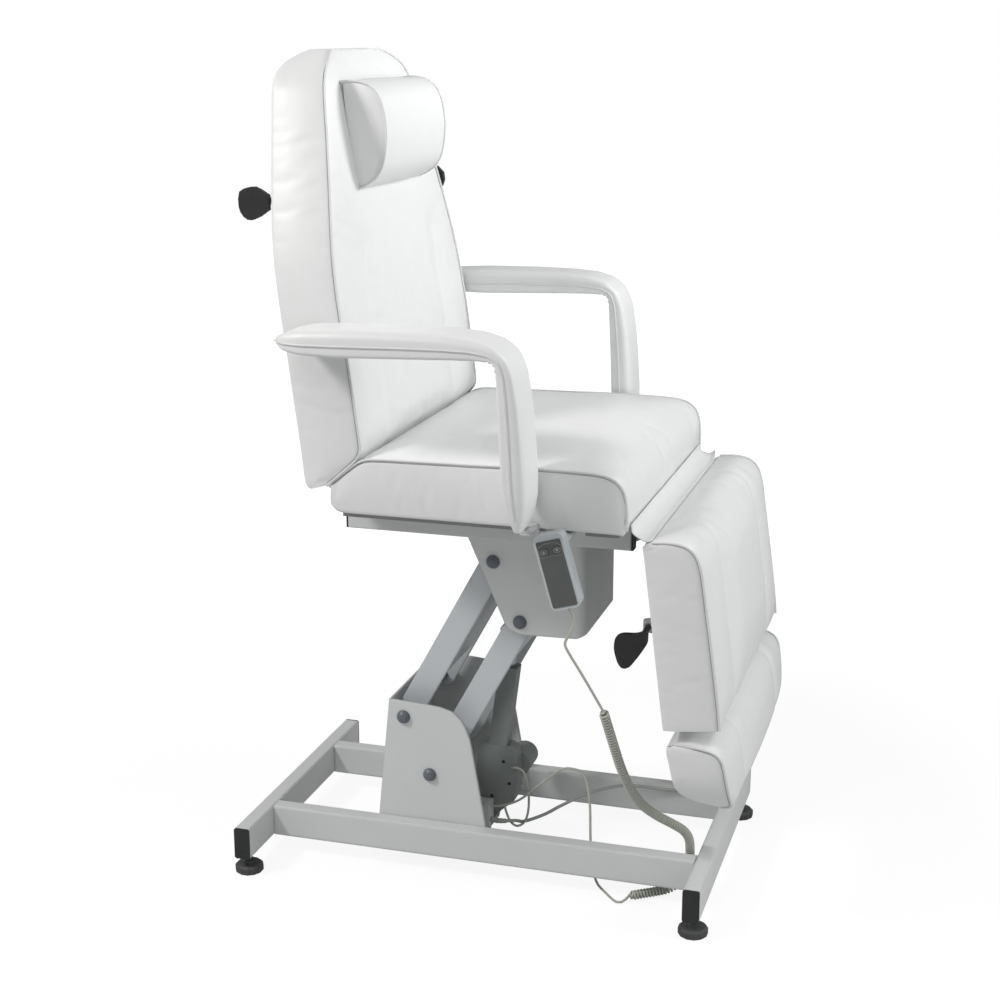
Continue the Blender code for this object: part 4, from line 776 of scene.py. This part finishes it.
# Seat: front x, z, back x, z and crown of each row
SEAT_HALF = 0.318
SEAT_LOW = 0.7276
SEAT_ROWS = [
    (-0.2075, 0.779, -0.2095, 0.742, 0.0), (-0.190, 0.7925, -0.203, 0.7315, 0.0),
    (-0.170, 0.8095, -0.192, SEAT_LOW, 0.0), (-0.150, 0.8245, -0.165, SEAT_LOW, 0.002),
    (-0.115, 0.8255, -0.120, SEAT_LOW, 0.007), (-0.040, 0.8265, -0.040, SEAT_LOW, 0.012),
    (0.040, 0.8275, 0.040, SEAT_LOW, 0.013), (0.120, 0.8295, 0.120, SEAT_LOW, 0.013),
    (0.190, 0.8290, 0.190, SEAT_LOW, 0.011), (0.240, 0.8280, 0.228, SEAT_LOW, 0.008),
    (0.268, 0.8260, 0.252, SEAT_LOW, 0.006), (0.288, 0.8185, 0.270, SEAT_LOW, 0.004),
    (0.298, 0.806, 0.281, SEAT_LOW, 0.003), (0.303, 0.786, 0.289, SEAT_LOW, 0.002),
    (0.304, 0.760, 0.294, SEAT_LOW, 0.001), (0.3035, 0.737, 0.298, SEAT_LOW, 0.0),
]


def build_seat():
    table = [(*row[:4], SEAT_HALF, row[4], 0.0) for row in SEAT_ROWS]
    cover = Cover(table, count=76)
    upholster("seat_cover", "seat_cushion", "seat", cover)
    sew(cover, "seat", "seat")


BACK_FRONT = [
    (-0.2165, 0.7755), (-0.195, 0.794), (-0.172, 0.8145), (-0.1525, 0.832), (-0.158, 0.875),
    (-0.1675, 0.95), (-0.174, 1.00), (-0.1825, 1.05), (-0.191, 1.10), (-0.1995, 1.15),
    (-0.2075, 1.20), (-0.215, 1.25), (-0.2235, 1.30), (-0.232, 1.35), (-0.241, 1.40),
    (-0.249, 1.445), (-0.257, 1.473), (-0.272, 1.4865),
]
BACK_REAR = [
    (-0.245, 0.7665), (-0.2505, 0.768), (-0.2555, 0.7735), (-0.258, 0.784), (-0.265, 0.85),
    (-0.2755, 0.93), (-0.284, 1.00), (-0.2905, 1.05), (-0.2985, 1.10), (-0.3075, 1.15),
    (-0.3150, 1.20), (-0.322, 1.25), (-0.328, 1.30), (-0.3335, 1.35), (-0.339, 1.40),
    (-0.343, 1.445), (-0.336, 1.473), (-0.312, 1.488),
]
BACK_HALF = [0.319] * 7 + [0.320, 0.316, 0.307, 0.292, 0.275, 0.257, 0.239, 0.223, 0.205]
BACK_HALF += [0.165, 0.115]
BACK_CROWN = [0.0] * 3 + [0.001, 0.006, 0.009, 0.010, 0.010, 0.009, 0.007, 0.004, 0.002]
BACK_CROWN += [0.001] * 4 + [0.0] * 2
BACK_CHANNEL = [0.0] * 3 + [0.5] + [1.0] * 5 + [0.7, 0.2] + [0.0] * 7


def joined(front, rear, *columns):
    """Rows of a cover from its front line, its rear line and the columns beside them."""
    return [(*f, *b, *rest) for f, b, *rest in zip(front, rear, *columns)]


def build_back():
    table = joined(BACK_FRONT, BACK_REAR, BACK_HALF, BACK_CROWN, BACK_CHANNEL)
    cover = Cover(table, count=96, roll=0.002, channels=CHANNELS)
    upholster("back_cover", "back_cushion", "back", cover, puff=0.004)
    left = cover.seam(1, SEAM_OUT)
    right = cover.seam(-1, SEAM_OUT)
    top = [Vector(p) for p in cover.front[-1]]
    pipe("back_piping", right + top[1:-1] + left[::-1], "back")
    # Dark lines of painted shade in the grooves beside the piping
    for side, word in SIDES:
        groove_shade("back_stitches_" + word, cover.seam(side, SHADE_LINE_OUT, SHADE_LINE_DROP), "back")


# Leg rest: front x, z, back x, z, crown and channel of each row
LEG_HALF = 0.317
LEG_ROWS = [
    (0.345, 0.7195, 0.3295, 0.7115, 0.0, 0.0), (0.379, 0.722, 0.3310, 0.7000, 0.002, 0.3),
    (0.404, 0.7185, 0.3325, 0.6881, 0.004, 0.6), (0.419, 0.7055, 0.3346, 0.6722, 0.006, 0.9),
    (0.4275, 0.68, 0.3371, 0.6524, 0.008, 1.0), (0.435, 0.63, 0.3421, 0.6137, 0.009, 1.0),
    (0.4425, 0.58, 0.3478, 0.5691, 0.009, 1.0), (0.450, 0.53, 0.3534, 0.5254, 0.009, 1.0),
    (0.457, 0.48, 0.3598, 0.4758, 0.008, 1.0), (0.463, 0.435, 0.3655, 0.4312, 0.004, 0.8),
    (0.465, 0.409, 0.3697, 0.3985, 0.0, 0.0),
]
FOOT_FRONT = [
    (0.392, 0.3745), (0.410, 0.3745), (0.435, 0.3725), (0.455, 0.369), (0.4665, 0.3635),
    (0.4725, 0.352), (0.4775, 0.325), (0.482, 0.29), (0.4845, 0.268), (0.4815, 0.2545),
    (0.462, 0.2475),
]
FOOT_REAR = [
    (0.3775, 0.369), (0.376, 0.364), (0.377, 0.355), (0.380, 0.344), (0.3825, 0.333),
    (0.3845, 0.322), (0.388, 0.305), (0.395, 0.285), (0.405, 0.270), (0.421, 0.2565),
    (0.441, 0.2495),
]
FOOT_HALF = [0.312, 0.315, 0.316, 0.316, 0.316, 0.3155, 0.314, 0.303, 0.286, 0.268, 0.255]
FOOT_CROWN = [0.018, 0.021, 0.020, 0.016, 0.012, 0.009, 0.008, 0.008, 0.006, 0.003, 0.0]
FOOT_CHANNEL = [0.0, 0.0, 0.3, 0.7, 1.0, 1.0, 1.0, 1.0, 0.7, 0.2, 0.0]


def build_leg():
    """Leg rest and footrest."""
    table = [(*row[:4], LEG_HALF, *row[4:]) for row in LEG_ROWS]
    cover = Cover(table, count=56, channels=CHANNELS)
    upholster("leg_cover", "leg_cushion", "leg", cover, puff=0.008)
    sew(cover, "leg", "leg")
    table = joined(FOOT_FRONT, FOOT_REAR, FOOT_HALF, FOOT_CROWN, FOOT_CHANNEL)
    cover = Cover(table, count=34, channels=CHANNELS)
    upholster("foot_cover", "foot_cushion", "foot", cover, puff=0.006)
    sew(cover, "foot", "foot")


ARM_OUTER = [
    (-0.262, 1.041), (-0.245, 1.0505), (-0.215, 1.057), (-0.15, 1.0605), (-0.05, 1.062),
    (0.03, 1.061), (0.075, 1.057), (0.108, 1.047), (0.131, 1.028), (0.144, 1.00), (0.1530, 0.95),
    (0.1585, 0.895), (0.1630, 0.83), (0.1630, 0.795), (0.1575, 0.765), (0.1490, 0.7425),
]
ARM_INNER = [
    (-0.262, 1.034), (-0.248, 1.0215), (-0.215, 1.016), (-0.15, 1.0150), (-0.05, 1.0180),
    (0.02, 1.0205), (0.066, 1.0218), (0.0985, 1.0218), (0.1110, 1.0185), (0.1145, 1.001),
    (0.1170, 0.95), (0.1198, 0.895), (0.1222, 0.83), (0.1262, 0.800), (0.1330, 0.770),
    (0.1420, 0.7425),
]
ARM_SHARE = [0.62, 0.86, 0.98] + [1.0] * 10 + [0.96, 0.82, 0.62]
ARM_HALF = 0.049
ARM_Y = 0.380
# Roundings of the top and the underside
ARM_TOP_R = 0.017
ARM_LOW_R = 0.007
# Piping runs at this share of the thickness, down the post to this height
ARM_SEAM = 0.42
ARM_SEAM_OUT = 0.0008
ARM_SEAM_END = 0.768
# Gathers of the cover where the underside turns down into the post:
# place, height, pace, reach along the cover and reach up its side
ARM_CORNER = (0.1115, 1.0165)
GATHER = 0.0034
GATHER_PACE = 2.1
GATHER_REACH = 0.016
GATHER_DEPTH = 0.018


def arm_section(half, thick):
    """Section of the armrest, across and up: the top rolled over, the underside flat."""
    top = min(ARM_TOP_R, 0.42 * thick, 0.6 * half)
    low = min(ARM_LOW_R, 0.2 * thick, 0.3 * half)
    corners = ((half - top, thick - top, top, 0), (-half + top, thick - top, top, 90),
               (-half + low, low, low, 180), (half - low, low, low, 270))
    points = []
    for cx, cz, radius, start in corners:
        for k in range(7):
            a = math.radians(start + 15 * k)
            points.append((cx + radius * math.cos(a), cz + radius * math.sin(a)))
    return points


def build_armrest(side, name):
    table = joined(ARM_OUTER, ARM_INNER, [ARM_HALF * w for w in ARM_SHARE])
    corner = at(ARM_CORNER[0], side * ARM_Y, ARM_CORNER[1])
    rings, seams = [], {-1: [], 1: []}
    for i, (fx, fz, bx, bz, half) in enumerate(stations(table, 128, passes=2)):
        up = Vector((fx - bx, 0.0, fz - bz))
        thick = up.length
        up.normalize()
        base = Vector((bx, side * ARM_Y, bz))
        near = math.exp(-(((base - corner).length / GATHER_REACH) ** 2))
        tuck = GATHER * math.sin(GATHER_PACE * i) * near
        rings.append([])
        for a, b in arm_section(half, thick):
            high = b + tuck * max(0.0, 1 - b / GATHER_DEPTH)
            rings[-1].append(base + Vector((0.0, a, 0.0)) + up * high)
        for edge in (-1, 1):
            if bz > ARM_SEAM_END:
                out = Vector((0.0, edge * (half + ARM_SEAM_OUT), 0.0))
                seams[edge].append(base + out + up * (ARM_SEAM * thick))
    count = len(rings[0])
    verts = [v for ring in rings for v in ring]
    faces = caps(len(rings), count) + skin(len(rings), count, True)
    body = "armrest_" + name
    piece = mesh_piece("armrest_cover_" + name, verts, faces, finish("vinyl"), body)
    soften(piece)
    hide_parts("armrest_" + name)
    for edge, word in ((-1, "a"), (1, "b")):
        pipe("armrest_piping_%s_%s" % (name, word), seams[edge], body)


PILLOW = [
    (-0.2158, 1.2560), (-0.1945, 1.2650), (-0.1770, 1.2790), (-0.1655, 1.3000), (-0.1595, 1.3350),
    (-0.1595, 1.3650), (-0.1640, 1.3930), (-0.1730, 1.4150), (-0.1900, 1.4310), (-0.2140, 1.4370),
    (-0.2400, 1.4365),
]
PILLOW_HALF = 0.155
PILLOW_MIDDLE = (-0.2225, 0.0, 1.3455)
PILLOW_SWELL = 0.02
# Rings of the flat ends, as shares of the rim, and how far the ends stand out
PILLOW_RINGS = (0.8, 0.55, 0.3)
PILLOW_BULGE = 0.006
# Piping round the ends, and the dark line of painted contact shade at their back edge
PILLOW_PIPING_OUT = 0.0005
PILLOW_SHADE_OUT = 0.001
PILLOW_SHADE_BACK = 0.0015
PILLOW_SHADE_R = 0.0013


def build_pillow():
    """Half-round pillow with piped flat ends, and a dark line of painted contact shade along the
    back edge of each end.
    """
    outline = smooth_path([at(x, 0.0, z) for x, z in PILLOW], step=0.005)
    middle = at(*PILLOW_MIDDLE)
    across = np.concatenate([[-1.0, -0.985], np.linspace(-0.95, 0.95, 41), [0.985, 1.0]])
    rings = []
    for share in across:
        swell = 1.0 + PILLOW_SWELL * (1 - share ** 2)
        if abs(share) > 0.99:
            swell -= PILLOW_SWELL
        ring = []
        for i, p in enumerate(outline):
            keep = swell if 0 < i < len(outline) - 1 else 1.0
            q = middle + (p - middle) * keep
            ring.append(Vector((q.x, share * PILLOW_HALF, q.z)))
        rings.append(ring)
    count = len(outline)
    rows = range(len(rings))
    verts = [v for ring in rings for v in ring]
    faces = skin(len(rings), count)
    faces.append([i * count for i in rows] + [i * count + count - 1 for i in reversed(rows)])
    for end, sign in ((rows[0], -1.0), (rows[-1], 1.0)):
        rim = [end * count + k for k in range(count)]
        last = rim
        for share in PILLOW_RINGS:
            fresh = [len(verts) + k for k in range(count)]
            for k in rim:
                q = middle + (Vector((verts[k].x, 0, verts[k].z)) - middle) * share
                verts.append(Vector((q.x, sign * (PILLOW_HALF + PILLOW_BULGE * (1 - share)), q.z)))
            for k in range(count):
                j = (k + 1) % count
                faces.append([last[k], last[j], fresh[j], fresh[k]])
            last = fresh
        faces.append(last)
    piece = mesh_piece("pillow_cover", verts, faces, finish("vinyl"), "back")
    soften(piece)
    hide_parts("head_pillow")
    for sign, name in SIDES:
        rim = [Vector((p.x, sign * (PILLOW_HALF + PILLOW_PIPING_OUT), p.z)) for p in outline]
        pipe("pillow_piping_" + name, rim, "back")
        # Dark line of painted contact shade where the end meets the back cushion
        out = sign * (PILLOW_HALF + PILLOW_SHADE_OUT)
        foot = [Vector((p.x - PILLOW_SHADE_BACK, out, p.z)) for p in (outline[0], outline[-1])]
        groove_shade("pillow_contact_shade_" + name, foot, "back", PILLOW_SHADE_R)


FLAP_LINE = [(0.3087, 0.745), (0.3095, 0.733), (0.3140, 0.7265), (0.3220, 0.7215),
             (0.3330, 0.7172), (0.3420, 0.7204)]
FLAP_HALF = 0.305
FLAP_ACROSS = 62
FLAP_THICK = 0.0016
# Soft waves along the free width: height, and two lengths that don't repeat together
FLAP_WAVE = 0.0013
FLAP_WAVES = (0.013, 0.029)
# The far corner is turned up: where it starts, over what width, how far back and up
EAR_START = 0.262
EAR_WIDTH = 0.043
EAR_BACK = 0.004
EAR_UP = 0.014


def build_flap():
    """Vinyl strip that covers the hinge gap between seat and leg rest."""
    path = smooth_path([at(x, 0.0, z) for x, z in FLAP_LINE], step=0.003)
    half = FLAP_HALF
    across = np.linspace(-half, half, FLAP_ACROSS)
    verts = []
    for i, p in enumerate(path):
        share = i / (len(path) - 1)
        sag = math.sin(math.pi * share)
        for y in across:
            ripple = math.sin(y / FLAP_WAVES[0]) + math.sin(y / FLAP_WAVES[1] + 1.0)
            wave = FLAP_WAVE * sag * ripple
            ear = max(0.0, (y - EAR_START) / EAR_WIDTH) ** 2 * share
            verts.append(Vector((p.x - EAR_BACK * ear, y, p.z + wave + EAR_UP * ear)))
    faces = skin(len(path), len(across))
    piece = mesh_piece("hinge_flap_vinyl", verts, faces, finish("vinyl"), None)
    thick = piece.modifiers.new("thickness", "SOLIDIFY")
    thick.thickness = FLAP_THICK
    thick.offset = 0.0
    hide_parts("hinge_flap")
    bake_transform(piece)


# Hand control's printed keys

HANDSET_AT = (0.203, 0.6768)
HANDSET_TILT = math.radians(16.0)
FILM_Y = -0.3793
KEY_Y = -0.3801
KEY_UP = 0.036
KEYS = {"button_up": (-0.0115, 1.0), "button_down": (0.0115, -1.0)}
BAND = [(-0.0200, 0.0275), (0.0192, 0.0275), (0.0194, 0.0425), (0.014, 0.0470), (0.007, 0.0492),
        (-0.0005, 0.0497), (-0.008, 0.0492), (-0.015, 0.0470), (-0.0203, 0.0425)]
OVAL = (0.0056, 0.0042)
OVAL_POINTS = 24
ARROW = [(0.0, 0.0026), (-0.0026, -0.0018), (0.0026, -0.0018)]
ARROW_OUT = 0.0001
PRINT_R = 0.0003


def keypad_point(side, up, y):
    """Place on the tilted face of the hand control."""
    c, s = math.cos(HANDSET_TILT), math.sin(HANDSET_TILT)
    return at(HANDSET_AT[0] + side * c - up * s, y, HANDSET_AT[1] + side * s + up * c)


def printed_line(name, points, body):
    tube_piece(name, points, PRINT_R, finish("icon"), body, True, 1)


def build_keypad():
    """Plain printed band over the keys, an oval round each key and an arrow on it."""
    printed_line("keypad_band", [keypad_point(a, b, FILM_Y) for a, b in BAND], "seat")
    turns = [2 * math.pi * k / OVAL_POINTS for k in range(OVAL_POINTS)]
    for name, (middle, sign) in KEYS.items():
        oval = [keypad_point(middle + OVAL[0] * math.cos(a), KEY_UP + OVAL[1] * math.sin(a), KEY_Y)
                for a in turns]
        printed_line(name + "_ring", oval, name)
        face = [keypad_point(middle + a, KEY_UP + sign * b, KEY_Y - ARROW_OUT) for a, b in ARROW]
        mesh_piece(name + "_arrow", face, [(0, 1, 2)], finish("icon"), name, False)


SCREWS = [(0.0080, 0.1776), (0.0197, 0.1340), (-0.0150, 0.1050)]
SCREW_Y = -0.0225
SCREW_R = 0.0032
SCREW_HIGH = 0.0012
SCREW_SIDES = 12


def build_screws():
    """Dark screw heads on the gearbox cover."""
    turns = [2 * math.pi * j / SCREW_SIDES for j in range(SCREW_SIDES)]
    for k, (x, z) in enumerate(SCREWS):
        ring = [at(x + SCREW_R * math.cos(a), SCREW_Y, z + SCREW_R * math.sin(a)) for a in turns]
        head = [Vector((p.x, p.y - SCREW_HIGH, p.z)) for p in ring]
        faces = caps(2, SCREW_SIDES)[1:] + skin(2, SCREW_SIDES, True)
        mesh_piece("gearbox_screw_%d" % (k + 1), ring + head, faces, finish("black"), "actuator",
                   False)


# Finishes of the solids: the starts of their names, and the radius of their edges

FINISHES = {
    "frame": ("base_rail", "base_cross", "lift_tower", "seat_bracket", "seat_rail", "seat_subframe",
              "arm_bracket", "back_frame", "leg_frame", "actuator_mount"),
    "arms": ("upper_arm", "lower_arm"),
    "black": ("base_cap", "seat_cap", "back_release_bar", "leg_release_paddle", "back_gas_cylinder",
              "leg_gas_cylinder", "mains_plug"),
    "foot": ("foot_front", "foot_rear"),
    "pin_cap": ("tower_pin", "seat_pin"),
    "actuator": ("actuator_body", "actuator_motor"),
    "zinc": ("actuator_rod", "back_gas_rod", "leg_gas_rod", "foot_frame"),
    "handset": ("handset_case",),
    "membrane": ("handset_panel", "button_up", "button_down"),
    "plywood": ("seat_board",),
}
EDGES = {"frame": 0.0008, "arms": 0.0008, "black": 0.0015, "foot": 0.0010, "pin_cap": 0.0016,
         "actuator": 0.0045, "zinc": 0.0004, "handset": 0.0022, "membrane": 0.0003,
         "plywood": 0.0005}
EDGE_ANGLE = 35.0


def finish_solids():
    for word, starts in FINISHES.items():
        for name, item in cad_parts.items():
            if name.startswith(starts):
                item.data.materials.clear()
                item.data.materials.append(finish(word))
                edge = item.modifiers.new("edge", "BEVEL")
                edge.width = EDGES[word]
                edge.segments = 3
                edge.limit_method = "ANGLE"
                edge.angle_limit = math.radians(EDGE_ANGLE)


class FACIALBED_OT_stage(bpy.types.Operator):
    """Camera, light and floor."""

    bl_idname = "facial_bed.stage"
    bl_label = "Stage"

    def execute(self, context):
        context.scene.view_settings.view_transform = "Standard"
        build_camera()
        build_world()
        build_floor()
        for lamp in LAMPS:
            build_lamp(*lamp)
        return {"FINISHED"}


class FACIALBED_OT_cords(bpy.types.Operator):
    """Hand control's cord, mains lead and motor lead."""

    bl_idname = "facial_bed.cords"
    bl_label = "Cords"

    def execute(self, context):
        build_handset_cord()
        build_mains_lead()
        build_motor_lead()
        return {"FINISHED"}


class FACIALBED_OT_upholstery(bpy.types.Operator):
    """Seat, back, leg rest, footrest, pillow and hinge flap."""

    bl_idname = "facial_bed.upholstery"
    bl_label = "Upholstery"

    def execute(self, context):
        build_seat()
        build_back()
        build_leg()
        build_pillow()
        build_flap()
        return {"FINISHED"}


class FACIALBED_OT_armrests(bpy.types.Operator):
    """Both armrests."""

    bl_idname = "facial_bed.armrests"
    bl_label = "Armrests"

    def execute(self, context):
        for side, name in SIDES:
            build_armrest(side, name)
        return {"FINISHED"}


class FACIALBED_OT_solids(bpy.types.Operator):
    """Finishes of the solids, print of the keys and screws of the gearbox."""

    bl_idname = "facial_bed.solids"
    bl_label = "Frame finishes"

    def execute(self, context):
        finish_solids()
        build_keypad()
        build_screws()
        return {"FINISHED"}


OPERATORS = (FACIALBED_OT_stage, FACIALBED_OT_cords, FACIALBED_OT_upholstery,
             FACIALBED_OT_armrests, FACIALBED_OT_solids)


class FACIALBED_PT_panel(bpy.types.Panel):
    bl_idname = "FACIALBED_PT_panel"
    bl_label = "Facial Bed"
    bl_space_type = "VIEW_3D"
    bl_region_type = "UI"
    bl_category = "Facial Bed"

    def draw(self, context):
        for kind in OPERATORS:
            self.layout.operator(kind.bl_idname)
        for name in FacialBedSettings.__annotations__:
            self.layout.prop(context.scene.facial_bed, name)


CLASSES = (FacialBedSettings,) + OPERATORS + (FACIALBED_PT_panel,)


def register():
    for kind in CLASSES:
        bpy.utils.register_class(kind)
    bpy.types.Scene.facial_bed = bpy.props.PointerProperty(type=FacialBedSettings)


def unregister():
    del bpy.types.Scene.facial_bed
    for kind in reversed(CLASSES):
        bpy.utils.unregister_class(kind)


def main():
    register()
    bpy.ops.facial_bed.stage()
    bpy.ops.facial_bed.cords()
    bpy.ops.facial_bed.upholstery()
    bpy.ops.facial_bed.armrests()
    bpy.ops.facial_bed.solids()


if __name__ == "__main__":
    main()
